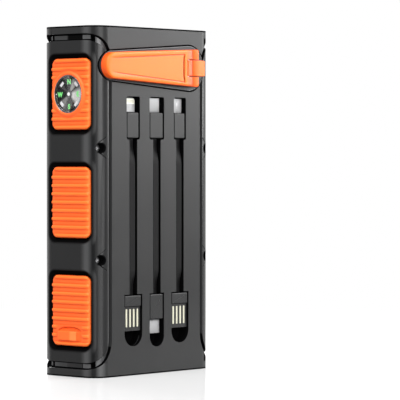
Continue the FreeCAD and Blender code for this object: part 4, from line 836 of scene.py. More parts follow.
def glassMaterial(name, rough, share):
    # a clear cover: see-through, with a share of gloss that grows at a slant
    material = bpy.data.materials.new(name)
    material.use_nodes = True
    tree = material.node_tree
    tree.nodes.remove(tree.nodes["Principled BSDF"])
    haze = mapRange(noiseOf(position(tree), 260.0, 2.0), 0.3, 0.7, rough, rough + 0.05)
    gloss = addNode(tree, "ShaderNodeBsdfGlossy", None, {"Roughness": haze})
    clear = addNode(tree, "ShaderNodeBsdfTransparent")
    slant = addNode(tree, "ShaderNodeFresnel", None, {"IOR": 1.45}).outputs[0]
    showMixed(tree, times(slant, share), clear, gloss)
    return material


def dialMaterial():
    # painted reflection: a black dial with grey sectors painted on it, where a sunburst finish would catch
    # light, over fine brushed lines
    material, tree, inputs = newMaterial("dialFace", (0.01, 0.01, 0.011), 0.28, specular=0.1)
    axes = axesOf(tree)
    across, up = times(axes[1], -1.0), minus(axes[2], compassAt.z * mm)
    angle = mathNode("ARCTAN2", up, across)
    sectorReflections = []
    for middle, spread, level in dial["reflectionSectors"]:
        away = magnitude(mathNode("WRAP", minus(angle, middle), math.pi, -math.pi))
        sectorReflections.append(mapRange(away, spread, spread * 0.35, 0.0, level, True))
    brushed = {"W": angle, "Scale": 40.0}
    lines = addNode(tree, "ShaderNodeTexNoise", {"noise_dimensions": "1D"}, brushed).outputs[0]
    inner = mapRange(hypotenuse(across, up), dial["hubFrom"], dial["hubTo"], smooth=True)
    total = times(larger(*sectorReflections), inner, plus(lines, dial["lines"]))
    feed(inputs["Base Color"], mixColours(total, (0.006, 0.006, 0.007), (1.0, 1.0, 0.98)))
    feedNormal(inputs, lines, 0.00001)
    return material


finishes["lensGlass"] = glassMaterial("lensGlass", 0.03, 0.14)
finishes["dialFace"] = dialMaterial()


def compassPart(name, profile, finish, slot="dial_plastic", body="compass", replaced="compass_card", steps=96,
                make=discMesh):
    mesh = make(name, profile, (0, compassAt.y, compassAt.z), (-1, 0, 0), steps)
    addPiece(name, mesh, finish, slot, body, replaced)


def dialBar(name, out, reach, along, across, turn, thick, bevel=0.08):
    # the mesh of a thin bar that faces -X, at a reach and turn about the dial's middle
    mesh = bpy.data.meshes.new(name)
    work = bmesh.new()
    bmesh.ops.create_cube(work, size=1)
    bmesh.ops.scale(work, vec=(thick * mm, along * mm, across * mm), verts=work.verts)
    bmesh.ops.bevel(work, geom=work.edges[:], offset=bevel * mm, segments=2, profile=0.5, affect="EDGES")
    bmesh.ops.rotate(work, cent=(0, 0, 0), matrix=Matrix.Rotation(turn, 3, "X"), verts=work.verts)
    centre = (-out, compassAt.y + reach * math.cos(turn), compassAt.z + reach * math.sin(turn))
    bmesh.ops.translate(work, vec=Vector(centre) * mm, verts=work.verts)
    work.to_mesh(mesh)
    work.free()
    return mesh


def makeLetter(name, letter, y, z):
    # a raised letter that faces -X, with its foot towards -Z
    data = bpy.data.curves.new(name, "FONT")
    data.body = letter
    data.size = dial["letterTall"] * mm * dial["fontShare"]
    data.align_x, data.align_y = "CENTER", "CENTER"
    data.extrude = dial["letterThick"] * mm
    data.offset = dial["letterBold"] * mm
    data.resolution_u = 6
    text = bpy.data.objects.new(name, data)
    bpy.context.scene.collection.objects.link(text)
    mesh = bpy.data.meshes.new_from_object(text.evaluated_get(bpy.context.evaluated_depsgraph_get()))
    bpy.data.objects.remove(text)
    turn = Matrix(((0, 0, -1, 0), (-1, 0, 0, 0), (0, 1, 0, 0), (0, 0, 0, 1)))
    middle = sum((Vector(corner.co) for corner in mesh.vertices), Vector()) / len(mesh.vertices)
    narrow = Matrix.Diagonal((dial["letterWide"], 1, 1, 1))
    mesh.transform(narrow @ Matrix.Translation(-Vector((middle.x, middle.y, 0))))
    mesh.transform(Matrix.Translation(Vector((-discOut - 0.05, y, z)) * mm) @ turn)
    mesh.materials.clear()
    addPiece(name, mesh, "dialGreen", "dial_plastic", "compass", "compass_card")


def makeCompass():
    # every profile is radius and distance outwards from the case's middle
    out, back = discOut, discOut - discThick
    cover = {"slot": "clear_lens", "body": "case", "replaced": "compass_lens"}
    compassPart("compassLens", ((0, 39.9), (4.5, 39.88), (7.0, 39.82), (8.2, 39.74), (8.42, 39.68),
                                (8.42, 39.52), (0, 39.52)), "lensGlass", **cover)
    compassPart("compassRim", ((8.7, 39.5), (8.7, 39.75), (8.64, 39.86), (8.54, 39.88), (8.48, 39.78),
                               (8.48, 39.5)), "chrome", make=latheMesh, **cover)
    compassPart("compassDisc", ((0, out), (1.7, out), (7.3, out), (7.45, out - 0.1), (7.45, back), (0, back)),
                "dialFace")
    compassPart("compassBezel", ((8.3, 39.47), (8.2, 39.3), (7.7, 38.85), (7.7, 38.3), (8.6, 38.3),
                                 (8.6, 39.47)), "dial_plastic", body="case", replaced=None, make=latheMesh)
    compassPart("compassHub", ((0, out + 0.34), (1.2, out + 0.34), (1.55, out + 0.22), (1.7, out),
                               (1.7, out - 0.1), (0, out - 0.1)), "dial_plastic", steps=48)
    compassPart("compassCap", ((0, out + 0.43), (0.5, out + 0.42), (0.8, out + 0.36), (0.88, out + 0.26),
                               (0.88, out + 0.1), (0, out + 0.1)), "dialWhite", steps=32)
    compassPart("compassMagnet", ((0, back), (3.0, back), (3.2, back - 0.15), (3.2, out - 1.55),
                                  (3.05, out - 1.7), (0, out - 1.7)), "steel", steps=48)
    for letter, y, z in (("N", 0, 1), ("E", -1, 0), ("S", 0, -1), ("W", 1, 0)):
        makeLetter("compassLetter" + letter, letter, compassAt.y + y * dial["letterOut"],
                   compassAt.z + z * dial["letterOut"])
    for k in range(4):
        name = "compassBar%d" % (k + 1)
        mesh = dialBar(name, out + 0.06, dial["barOut"], dial["barWide"], dial["barLong"],
                       math.radians(45 + 90 * k), 0.24)
        addPiece(name, mesh, "dialSilver", "dial_plastic", "compass", "compass_card")
    for k in range(4):
        name = "compassTick%d" % (k + 1)
        mesh = dialBar(name, 39.22, dial["tickOut"], 0.7, 0.42, (k + 1) * 0.5 * math.pi, 0.4, 0.05)
        addPiece(name, mesh, "dialWhite", "dial_plastic")


makeCompass()
print("compass made")


# helpers for rings of points, again in millimetres

def loftMesh(name, loops):
    # rings with an equal count of points, joined into a closed solid
    count = len(loops[0])
    last = (len(loops) - 1) * count
    faces = [tuple(range(count))] + ringFaces(len(loops), count) + [tuple(range(last, last + count))]
    mesh = buildMesh(name, [point for loop in loops for point in loop], faces)
    for polygon in mesh.polygons:
        polygon.use_smooth = len(polygon.vertices) == 4
    return mesh


def shrinkLoop(loop, distance):
    # an anticlockwise loop of flat points, moved inwards
    moved, corners = [], [Vector(point) for point in loop]
    for k, corner in enumerate(corners):
        first = (corner - corners[k - 1]).normalized()
        second = (corners[(k + 1) % len(loop)] - corner).normalized()
        normal = Vector((-first.y - second.y, first.x + second.x)).normalized()
        straight = max(0.4, normal.dot(Vector((-first.y, first.x))))
        moved.append(tuple(corner + normal * distance / straight))
    return moved


def arcPoints(x, y, radius, start, end, count):
    angles = [math.radians(start + (end - start) * k / (count - 1)) for k in range(count)]
    return [(x + radius * math.cos(angle), y + radius * math.sin(angle)) for angle in angles]


def roundBox(halfWide, halfTall, radius, count, x, y):
    # an anticlockwise rectangle with round corners
    a, b = halfWide - radius, halfTall - radius
    loop = []
    for k, (side, up) in enumerate(((1, 1), (-1, 1), (-1, -1), (1, -1))):
        loop += arcPoints(x + side * a, y + up * b, radius, 90 * k, 90 * k + 90, count)
    return loop


def sweepMesh(name, path, normal, half, tall, sink=0.1, closed=False, edge=0.3):
    # a raised bead along a path; edge is the share of its half width that slopes
    normal, flat = Vector(normal), half * (1 - edge)
    slope = tall * 0.6
    section = ((-half, -sink), (-half, slope), (-flat, tall), (flat, tall), (half, slope), (half, -sink))
    loops = []
    for k, point in enumerate(path):
        before = Vector(path[k - 1]) if closed or k else Vector(point)
        after = Vector(path[(k + 1) % len(path)]) if closed or k + 1 < len(path) else Vector(point)
        side = normal.cross(after - before).normalized()
        loops.append([Vector(point) + side * a + normal * b for a, b in section])
    if not closed:
        return loftMesh(name, loops)
    faces = ringFaces(len(path), len(loops[0]), True)
    return buildMesh(name, [point for loop in loops for point in loop], faces)


# crank arm and its fold-out knob

armLow, armHigh = boxOf("crank_arm")
knobLow, knobHigh = boxOf("crank_knob")
pinLow, pinHigh = boxOf("knob_pin")
crank = {"noseRadius": 6.0, "corner": 1.2, "forkGap": 0.3, "forkPast": 0.3, "forkCorner": 0.9, "forkMost": 0.12,
         # inset from the outline, and height over the arm's back; then the painted shade and highlight tones at
         # the nose and elsewhere
         "edge": ((0.25, 0.0), (0.0, 0.25), (0.0, 3.1), (0.07, 3.42), (0.24, 3.7), (0.5, 3.9), (0.85, 4.0)),
         "edgeShadeTones": ((-2, -2), (-1.0, -2), (-0.5, -2), (-0.4, -1.5), (-0.1, -0.5), (0.3, 0.4), (0.6, 0.6)),
         "noseTo": 1.5, "noseOver": 2.5,
         "panelLeft": -33.4, "panelRight": 15.75, "panelUp": (3.55, 6.6), "panelDown": (3.5, 7.0),
         # inset, depth and painted shade tone across the panel's groove, which fades out towards the nose
         "groove": ((0.0, 0.0, 0.2), (0.16, 0.22, -1.4), (0.52, 0.22, -1.3), (0.74, 0.0, 0.0)),
         "fadeFrom": -34.0, "fadeOver": 5.0,
         "crease": 21.4, "creaseHalf": 0.16, "creaseDeep": 0.35, "valleyFrom": 16.9, "valleyTo": 25.4,
         "valleyCuts": (18.4, 19.8, 20.7, 22.4, 23.6),
         "valleyDeep": 0.42, "valleyReach": 0.95, "knobEdge": 0.45, "tipRound": 1.5, "tipLong": 1.6}
crankZ = (armLow.z + armHigh.z) / 2
armNoseX = armLow.x + crank["noseRadius"]
pinY = (pinLow.y + pinHigh.y) / 2


def tangentTurn(nose, corner, run, rise):
    # the angle of the straight side between a round nose and a round corner
    return math.degrees(math.atan2(rise, run) - math.asin((nose - corner) / math.hypot(run, rise)))


def armLoop(shrink):
    # the arm's outline with the fork open at its right end, anticlockwise in X and Z
    n, w = crank["noseRadius"] - shrink, (armHigh.z - armLow.z) / 2 - shrink
    r = max(0.2, crank["corner"] - shrink)
    far = armHigh.x - shrink
    forkShrink = min(shrink, crank["forkMost"])
    g = (knobHigh.z - knobLow.z) / 2 + crank["forkGap"] + forkShrink
    left, c = knobLow.x - crank["forkPast"] - forkShrink, crank["forkCorner"] + forkShrink
    rise = w - r
    turn = tangentTurn(n, r, far - r - armNoseX, rise)
    loop = arcPoints(armNoseX, crankZ, n, 90 + turn, 270 - turn, 41)
    loop += arcPoints(far - r, crankZ - rise, r, 270 - turn, 360, 7) + [(far, crankZ - g)]
    loop += arcPoints(left + c, crankZ - g + c, c, 270, 180, 6)
    loop += arcPoints(left + c, crankZ + g - c, c, 180, 90, 6) + [(far, crankZ + g)]
    return loop + arcPoints(far - r, crankZ + rise, r, 0, 90 + turn, 7)


def panelLoop():
    # the outline of the shallow groove on the arm's face, anticlockwise
    up, down, left, right = crank["panelUp"], crank["panelDown"], crank["panelLeft"], crank["panelRight"]
    loop = []
    for angle in [*range(90, 180, 9), *range(189, 271, 9)]:
        turn, tall = math.radians(angle), up[0] if angle < 180 else down[0]
        loop.append((left + 1.0 + 2.6 * math.cos(turn), crankZ + tall * math.sin(turn)))
    loop += [(left + (right - left) * k / 8, crankZ - down[0] - (down[1] - down[0]) * k / 8)
             for k in range(1, 8)]
    rightEnd = ((0.3, 7.0), (0.0, 6.75), (0.0, 5.6), (0.15, 5.1), (0.55, 4.5), (0.62, 4.0))
    loop += [(right - inwards, crankZ - rise) for inwards, rise in rightEnd]
    loop += [(right - inwards, crankZ + rise) for inwards, rise in reversed(rightEnd[2:])]
    loop += [(right, crankZ + up[1] - 0.25), (right - 0.3, crankZ + up[1])]
    return loop + [(left + (right - left) * k / 8, crankZ + up[0] + (up[1] - up[0]) * k / 8)
                   for k in range(7, 0, -1)]


def valleyAt(x):
    # ears and knob dip towards the crease, and the crease is a fine groove
    edge = crank["valleyFrom"] if x < crank["crease"] else crank["valleyTo"]
    share = min(1.0, max(0.0, (x - edge) / (crank["crease"] - edge)))
    drop = crank["valleyDeep"] * share * share
    if abs(x - crank["crease"]) < crank["creaseHalf"] * 0.6:
        drop += crank["creaseDeep"]
    return drop, share


def carveValley(mesh, front):
    # cuts the front along X, lowers it towards the crease, and paints shade that deepens towards the crease
    work = bmesh.new()
    work.from_mesh(mesh)
    key = work.verts.layers.float.get("crest") or work.verts.layers.float.new("crest")
    crease, half, reach = crank["crease"], crank["creaseHalf"], crank["valleyReach"]
    start, end = crank["valleyFrom"], crank["valleyTo"]
    cuts = [start, end, *crank["valleyCuts"]] + [crease + half * share for share in (-1, -0.5, 0.5, 1)]
    for x in sorted(cuts):
        bmesh.ops.bisect_plane(work, geom=work.verts[:] + work.edges[:] + work.faces[:], dist=0.000001,
                               plane_co=(x * mm, 0, 0), plane_no=(1, 0, 0))
    for vertex in work.verts:
        x, y = vertex.co.x / mm, vertex.co.y / mm
        if y < front + reach and start - 0.01 < x < end + 0.01:
            drop, share = valleyAt(x)
            vertex.co.y += drop * mm * ease((front + reach - y) / reach)
            tone = -1.25 * share ** 0.7 if x < crease else -0.8 * share ** 0.8
            vertex[key] = min(vertex[key], tone if abs(x - crease) > half * 0.6 else -1.5)
    bmesh.ops.recalc_face_normals(work, faces=work.faces)
    work.to_mesh(mesh)
    work.free()


def addShaded(*values):
    # flat faces stay flat beside rounded ones
    shadeByFace(addPiece(*values))


def makeArm():
    back, front = armHigh.y, armLow.y
    points, tones = [], []
    for (shrink, out), (nose, rest) in zip(crank["edge"], crank["edgeShadeTones"]):
        loop = armLoop(shrink)
        points += [(x, back - out, z) for x, z in loop]
        tones += [rest + (nose - rest) * ease((armNoseX + crank["noseTo"] - x) / crank["noseOver"])
                  for x, z in loop]
    count, start = len(loop), len(points)
    faces = [tuple(range(count))] + ringFaces(len(crank["edge"]), count)
    panel = panelLoop()
    for inwards, deep, tone in crank["groove"]:
        for x, z in shrinkLoop(panel, inwards):
            fade = ease((x - crank["fadeFrom"]) / crank["fadeOver"])
            points.append((x, front + deep * fade, z))
            tones.append(tone * fade)
    ring = len(panel)
    faces += ringFaces(len(crank["groove"]), ring, start=start)
    faces.append(tuple(range(len(points) - ring, len(points))))
    # the flat face between the outline and the panel
    rings = [range(start - count, start), range(start, start + ring)]
    borders = [[Vector((points[spot][0], points[spot][2], 0)) for spot in spots] for spots in rings]
    spots = [*rings[0], *rings[1]]
    faces += [tuple(spots[corner] for corner in face) for face in geometry.tessellate_polygon(borders)]
    mesh = buildMesh("crankArm", points, faces)
    setCrest(mesh, tones)
    carveValley(mesh, front)
    addShaded("crankArm", mesh, "crank_plastic", None, "crank", "crank_arm")


def makeKnob():
    # a plate with a rolled left end about its pin, rounded at the tip
    reach, tip = (knobHigh.y - knobLow.y) / 2, knobHigh.x
    # places along X, and how far they lie below the knob's full half thickness
    profile = [(tip, 0.5), (tip - 0.12, 0.2), (tip - 0.4, 0.03), (tip - 0.7, 0.0), (28.0, 0.0), (26.0, 0.0),
               (18.6, 0.0), (18.2, 0.05), (17.9, 0.25), (17.7, 0.6), (17.62, 1.0), (knobLow.x, reach)]
    profile = [(x, reach - less) for x, less in profile]
    outline = profile + [(x, -y) for x, y in reversed(profile[:-1])]
    halfTall, edge = (knobHigh.z - knobLow.z) / 2, crank["knobEdge"]
    rows = [(edge * share - halfTall, edge * (1 - math.sqrt(1 - (1 - share) ** 2)))
            for share in (0.0, 0.12, 0.35, 0.65, 1.0)]
    rows += [(-z, inwards) for z, inwards in reversed(rows)]
    middleX, turn, long = (knobLow.x + tip) / 2, crank["tipRound"], crank["tipLong"]
    loops = []
    for z, inwards in rows:
        line = []
        for x, y in outline:
            corner = 0.0
            if x > tip - long:
                over = max(0.0, abs(z) - (halfTall - turn))
                corner = (turn - math.sqrt(max(0.0, turn * turn - over * over))) * (x - tip + long) / long
            line.append((x + (middleX - x) * inwards / (tip - middleX) - corner,
                         pinY + y * (1 - inwards / reach), crankZ + z))
        loops.append(line)
    mesh = loftMesh("crankKnob", loops)
    carveValley(mesh, knobLow.y)
    addShaded("crankKnob", mesh, "crank_plastic", None, "knob", "crank_knob")


seatBead = {"nose": -29.75, "narrow": 6.7, "wide": 10.5, "corner": 10.2, "reach": 33.1, "inset": 0.24,
            "half": 0.22, "tall": 0.18, "out": 18.0, "caseFlat": 32.0, "caseRound": 8.0}


def makeSeatBead():
    # a fine raised edge round the crank's seat, which follows the case's round corner; its pale finish is a
    # painted highlight
    shape = seatBead
    n, w, r, far = [shape[key] - shape["inset"] for key in ("narrow", "wide", "corner", "reach")]
    rise = w - r
    turn = tangentTurn(n, r, far - r - shape["nose"], rise)
    loop = arcPoints(shape["nose"], crankZ, n, 90 + turn, 270 - turn, 33)
    loop += arcPoints(far - r, crankZ - rise, r, 270 - turn, 360, 13)
    loop += arcPoints(far - r, crankZ + rise, r, 0, 90 + turn, 13)
    path = []
    for x, z in loop:
        past = max(0.0, -shape["caseFlat"] - x)
        bent = shape["caseRound"] - math.sqrt(max(0.0, shape["caseRound"] ** 2 - past ** 2))
        path.append((x, max(0.0, bent) - shape["out"], z))
    mesh = sweepMesh("seatBead", path, (0, -1, 0), shape["half"], shape["tall"], 0.1, True, 0.5)
    addPiece("seatBead", mesh, "beadHighlight", "case_plastic")


makeArm()
makeKnob()
makeSeatBead()
print("crank made")


# power symbol on its button

symbol = {"ring": 2.7, "half": 0.3, "gap": 34, "barLow": 0.4, "barHigh": 3.1, "proud": 0.02, "sink": 0.06}


def makeSymbol():
    ring = arcPoints(0, 0, symbol["ring"], 90 + symbol["gap"], 450 - symbol["gap"], 49)
    for name, line in (("powerRing", ring), ("powerBar", [(0, symbol["barLow"]), (0, symbol["barHigh"])])):
        path = [(buttonHigh.x, buttonAt.y + y, buttonAt.z + z) for y, z in line]
        mesh = sweepMesh(name, path, (1, 0, 0), symbol["half"], symbol["proud"], symbol["sink"])
        addPiece(name, mesh, "symbolPaint", "button_plastic", "button")


makeSymbol()
print("power symbol made")


# plugs, contacts and grips of the three leads

lead = {"lip": 0.16, "wall": 0.32, "mouthDeep": 5.6, "taper": 0.2, "contactHalf": 0.5, "contactPitch": 2.45,
        "bladeCorner": 1.5, "fieldInset": 0.42, "fieldLong": 2.9, "bladePitch": 0.66, "gripEdge": 0.62,
        "gripFlat": 0.2, "tongueThick": 0.35, "tongueIn": 1.2, "tongueFrom": 0.4, "tongueTo": 0.7,
        "seamFrom": 0.2, "seamTo": 0.3, "seamHalf": 0.09, "seamTall": 0.004, "seamSink": 0.05,
        # half width, half height and corner of a blade's contact, and how far it lies below the tip
        "bladeContact": (0.2, 0.75, 0.15), "bladeContactDown": 1.75}


def loftAlong(name, outline, rings, depthAxis):
    # one outline, shrunk and placed once per ring of inset and depth; depthAxis says where the depth goes
    loops = []
    for inwards, depth in rings:
        loop = shrinkLoop(outline, inwards) if inwards else outline
        loops.append([(a, depth, b) if depthAxis == 1 else (a, b, depth) for a, b in loop])
    return loftMesh(name, loops)


def makeShellPlug(node, name, body, radius, way, trapezoid=False, finish="plug_metal"):
    # a hollow shell along Z with a tongue inside, open at its tip; way is 1 where it points up
    low, high = boxOf(node)
    x, y = (low.x + high.x) / 2, (low.y + high.y) / 2
    halfWide, halfThick = (high.x - low.x) / 2, (high.y - low.y) / 2
    outline = roundBox(halfWide, halfThick, radius, 6, x, y)
    if trapezoid:
        outline = [(px - (px - x) * lead["taper"] * ease((py - y) / halfThick), py) for px, py in outline]
    base, tip = (low.z, high.z) if way > 0 else (high.z, low.z)
    lip, wall = lead["lip"], lead["wall"]
    rings = ((0, base), (0, tip - way * lip), (lip * 0.5, tip), (wall * 0.9, tip), (wall, tip - way * 0.1),
             (wall, tip - way * lead["mouthDeep"]))
    addShaded(name, loftAlong(name, outline, rings, 2), finish, "plug_metal", body, node)
    thick = min(lead["tongueThick"], halfThick * 0.3)
    outline = roundBox(halfWide - lead["tongueIn"], thick, thick * 0.5, 3, x, y)
    mesh = loftAlong(name + "Tongue", outline, ((0, base + way * lead["tongueFrom"]),
                                                (0, tip - way * lead["tongueTo"])), 2)
    addPiece(name + "Tongue", mesh, "part_plastic", "tongue_plastic", body, node)
    if trapezoid:
        path = [(x, low.y, base + way * lead["seamFrom"]), (x, low.y, tip - way * lead["seamTo"])]
        seam = sweepMesh(name + "Seam", path, (0, -1, 0), lead["seamHalf"], lead["seamTall"], lead["seamSink"])
        addPiece(name + "Seam", seam, "steel", "plug_metal", body, node)


def makeBladePlug(node, name, body):
    # a flat blade with a round end, its eight contacts set in a pale field
    low, high = boxOf(node)
    x, y, front = (low.x + high.x) / 2, (low.y + high.y) / 2, low.y
    halfWide, halfThick, corner = (high.x - low.x) / 2, (high.y - low.y) / 2, lead["bladeCorner"]
    outline = [(x + halfWide, low.z)] + arcPoints(x + halfWide - corner, high.z - corner, corner, 0, 90, 8)
    outline += arcPoints(x - halfWide + corner, high.z - corner, corner, 90, 180, 8) + [(x - halfWide, low.z)]
    steps = [(0.35, halfThick - 0.05), (0.12, halfThick * 0.8), (0.0, halfThick * 0.4)]
    rings = [(inwards, y - out) for inwards, out in steps]
    rings += [(inwards, y + out) for inwards, out in reversed(steps)]
    mesh = loftAlong(name, outline, rings, 1)
    addShaded(name, mesh, "plug_metal", None, body, node)
    split = high.z - lead["fieldLong"]
    field = [(px, max(pz, split)) for px, pz in shrinkLoop(outline, lead["fieldInset"])]
    mesh = loftAlong(name + "Field", field, ((0, front + 0.15), (0, front + 0.025)), 1)
    addPiece(name + "Field", mesh, "paleField", "plug_metal", body, node)
    for k in range(8):
        label = "%sContact%d" % (name, k + 1)
        outline = roundBox(*lead["bladeContact"], 3, x + (k - 3.5) * lead["bladePitch"],
                           high.z - lead["bladeContactDown"])
        mesh = loftAlong(label, outline, ((0, front + 0.1), (0.04, front)), 1)
        addPiece(label, mesh, "contact_metal", "plug_metal", body, node)


def makeContacts(node, name, body):
    low, high = boxOf(node)
    half = lead["contactHalf"]
    for k in range(4):
        at = (low.x + high.x) / 2 + (k - 1.5) * lead["contactPitch"]
        outline = roundBox(half, (high.z - low.z) / 2, half * 0.75, 5, at, (low.z + high.z) / 2)
        rings = ((0.0, high.y), (0.0, low.y + 0.04), (0.03, low.y + 0.012), (0.08, low.y))
        label = "%s%d" % (name, k + 1)
        mesh = loftAlong(label, outline, rings, 1)
        addPiece(label, mesh, "contact_metal", None, body, node)


def makeGrip(node, name, body, corner):
    # a moulded grip with soft edges
    low, high = boxOf(node)
    outline = roundBox((high.x - low.x) / 2, (high.z - low.z) / 2, corner, 5, (low.x + high.x) / 2,
                       (low.z + high.z) / 2)
    edge, flat = lead["gripEdge"], lead["gripFlat"]
    rings = [(flat, high.y), (0.0, high.y - flat)]
    rings += [(edge * (1 - math.cos(math.radians(turn))), low.y + edge * (1 - math.sin(math.radians(turn))))
              for turn in range(0, 91, 18)]
    addShaded(name, loftAlong(name, outline, rings, 1), "grip_plastic", None, body, node)


makeBladePlug("lead_left_top_plug", "bladePlug", "lead_left")
makeShellPlug("lead_middle_top_plug", "upperMiddlePlug", "lead_middle", 1.2, 1)
# the lower plug's darker metal is painted shade
makeShellPlug("lead_middle_bottom_plug", "lowerMiddlePlug", "lead_middle", 1.2, -1, finish="shadedPlugMetal")
makeShellPlug("lead_right_top_plug", "slimPlug", "lead_right", 0.45, 1, True)
makeContacts("lead_left_contacts", "leftContact", "lead_left")
makeContacts("lead_right_contacts", "rightContact", "lead_right")
for side in ("left", "middle", "right"):
    makeGrip("lead_%s_top_grip" % side, side + "TopGrip", "lead_" + side, 0.8)
    makeGrip("lead_%s_bottom_grip" % side, side + "BottomGrip", "lead_" + side, 0.55)
print("leads made")


# solar panel lines and indicators on the back

panelFront = boxOf("solar_panel")[1].y
lensBackLow, lensBackHigh = boxOf("indicator_lenses")
panel = {"columns": ((-25.9, 0.4), (2.4, 26.7)), "first": 137.7, "last": 14.4, "pitch": 1.9, "half": 0.2,
         "tall": 0.03, "icons": (19.7, 14.1), "modeRadius": 1.4,
         "lights": tuple((-7.05 - 4.54 * k, 0.5 + 0.1 * k) for k in range(4)),
         "rayRadius": 1.45, "arcRadius": 1.6, "iconHalf": 0.22}


def makeCellLines():
    # fine silver lines in two columns, in one mesh
    points, faces = [], []
    count = round((panel["first"] - panel["last"]) / panel["pitch"])
    top, half, tall = panelFront, panel["half"], panel["tall"]
    for left, right in panel["columns"]:
        for k in range(count + 1):
            z = panel["first"] - k * panel["pitch"]
            start = len(points)
            for x0, x1, y, h in ((left, right, top - 0.05, half), (left, right, top + tall * 0.5, half),
                                 (left + 0.06, right - 0.06, top + tall, half * 0.6)):
                points += [(x0, y, z - h), (x1, y, z - h), (x1, y, z + h), (x0, y, z + h)]
            faces.append(tuple(range(start, start + 4)))
            faces += ringFaces(3, 4, start=start)
            faces.append(tuple(range(start + 8, start + 12)))
    addPiece("cellLines", buildMesh("cellLines", points, faces, False), "cellSilver", "solar_cell")


def backDisc(name, x, z, radius, top, finish, sink, dome=0.04):
    profile = ((0, top), (radius * 0.5, top - dome * 0.25), (radius * 0.85, top - dome),
               (radius, top - dome - 0.04), (radius, top - sink), (0, top - sink))
    addPiece(name, discMesh(name, profile, (x, 0, z), (0, 1, 0), 40), finish, "lens_plastic",
             replaced="indicator_lenses")


def backArc(name, x, z, radius, half, start, end, finish, count=17):
    closed = end - start >= 360
    spots = arcPoints(x, z, radius, start, end, count)
    path = [(px, panelFront, pz) for px, pz in (spots[:-1] if closed else spots)]
    addPiece(name, sweepMesh(name, path, (0, 1, 0), half, 0.035, 0.08, closed), finish, "lens_plastic")


def makeIndicators():
    z, top, half = (lensBackLow.z + lensBackHigh.z) / 2, lensBackHigh.y, panel["iconHalf"]
    for k, (x, radius) in enumerate(panel["lights"]):
        backDisc("chargeLight%d" % (k + 1), x, z, radius, top, "blueLens", top - lensBackLow.y)
    first, second = panel["icons"]
    for k, x in enumerate(panel["icons"]):
        backDisc("modeLens%d" % (k + 1), x, z, panel["modeRadius"], top - 0.04, "smokedLens",
                 top - 0.04 - lensBackLow.y)
    backDisc("modeLight1", first, z, 0.8, top, "greenLens", 0.3)
    for k in range(8):
        backArc("modeRay%d" % (k + 1), first, z, panel["rayRadius"], half, 45 * k + 8, 45 * k + 37,
                "iconWhite", 5)
    backArc("modeLight2", second, z, 0.72, 0.24, 0, 360, "greenLens", 33)
    for k in range(2):
        backArc("modeArc%d" % (k + 1), second, z, panel["arcRadius"], half, 180 * k + 20, 180 * k + 160,
                "iconWhite")


makeCellLines()
makeIndicators()
print("back made")


# studio: floor, camera and lights

studio = {"floorSize": 12.0, "floorWhite": 0.86, "floorBounce": 0.35, "floorRough": 0.12, "floorGlow": 0.4,
          "glowStart": 0.12, "glowEnd": 0.5, "worldWhite": 1.0, "worldLight": 0.42}
# place, point looked at, width, height, power
lamps = {"sheenBox": ((0.71, -0.46, 0.46), (0, 0, 0.34), 0.45, 0.7, 9.0),
         "edgeBox": ((-1.05, -0.8, 0.25), (0, 0, 0.1), 0.3, 0.7, 3.6),
         "frontBox": ((-0.3, -0.95, 0.45), (0, 0, 0.15), 0.62, 0.8, 8.5),
         "leftBox": ((-0.55, -0.12, 1.05), (0, 0, 0.08), 0.7, 0.7, 12.0),
         "topBox": ((0.1, 0.1, 1.2), (0, 0, 0), 1.0, 1.0, 3.0),
         "backBox": ((0.45, 0.85, 0.6), (0, 0, 0.1), 0.6, 0.6, 20.0)}
eye = {"place": (-0.85407, -0.79934, 0.10093), "turn": 48.56, "tilt": -1.017, "field": 9.157}


def placeObject(name, data, place=(0, 0, 0), forward=None):
    # an object that looks along forward
    thing = bpy.data.objects.new(name, data)
    bpy.context.scene.collection.objects.link(thing)
    thing.location = place
    if forward:
        thing.rotation_mode = "QUATERNION"
        thing.rotation_quaternion = forward.to_track_quat("-Z", "Y")
    return thing


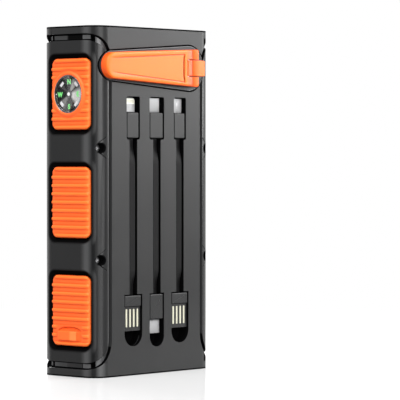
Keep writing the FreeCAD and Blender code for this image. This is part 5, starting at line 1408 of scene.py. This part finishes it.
def makeFloor():
    half, white, grey = studio["floorSize"] / 2, studio["floorWhite"], studio["floorBounce"]
    mesh = bpy.data.meshes.new("floor")
    corners = [(-half, -half, 0), (half, -half, 0), (half, half, 0), (-half, half, 0)]
    mesh.from_pydata(corners, [], [(0, 1, 2, 3)])
    floor = placeObject("floor", mesh)
    material, tree, inputs = newMaterial("paleFloor", (white, white, white), studio["floorRough"])
    glow = addNode(tree, "ShaderNodeEmission", None, {"Strength": 1.0})
    seen = addNode(tree, "ShaderNodeLightPath").outputs["Is Camera Ray"]
    feed(inputs["Base Color"], mixColours(seen, (grey, grey, grey), (white, white, white)))
    away = addNode(tree, "ShaderNodeVectorMath", {"operation": "LENGTH"}, {0: position(tree)}).outputs["Value"]
    share = mapRange(away, studio["glowStart"], studio["glowEnd"], studio["floorGlow"], 1.0, True)
    showMixed(tree, times(seen, share), tree.nodes["Principled BSDF"], glow)
    mesh.materials.append(material)


def makeWorld():
    world = bpy.data.worlds.new("studio")
    bpy.context.scene.world = world
    world.use_nodes = True
    background = world.node_tree.nodes["Background"].inputs
    path = addNode(world.node_tree, "ShaderNodeLightPath").outputs
    seen = larger(*[path[kind] for kind in ("Is Camera Ray", "Is Glossy Ray", "Is Transmission Ray")])
    feed(background["Strength"], mapRange(seen, first=studio["worldLight"], last=studio["worldWhite"]))
    background["Color"].default_value = (1, 1, 1, 1)


def makeCamera():
    data = bpy.data.cameras.new("camera")
    data.sensor_width = 36
    data.lens = 18 / math.tan(math.radians(eye["field"] / 2))
    data.clip_start = 0.01
    turn, tilt = math.radians(eye["turn"]), math.radians(eye["tilt"])
    forward = Vector((math.sin(turn) * math.cos(tilt), math.cos(turn) * math.cos(tilt), math.sin(tilt)))
    bpy.context.scene.camera = placeObject("camera", data, eye["place"], forward)


def makeLamp(name, place, target, wide, tall, power):
    data = bpy.data.lights.new(name, "AREA")
    data.shape = "RECTANGLE"
    data.size, data.size_y = wide, tall
    data.energy = power
    placeObject(name, data, place, Vector(target) - Vector(place))


makeFloor()
makeWorld()
makeCamera()
for lampName, values in lamps.items():
    makeLamp(lampName, *values)
bpy.context.scene.view_settings.view_transform = "Standard"
print("studio made")
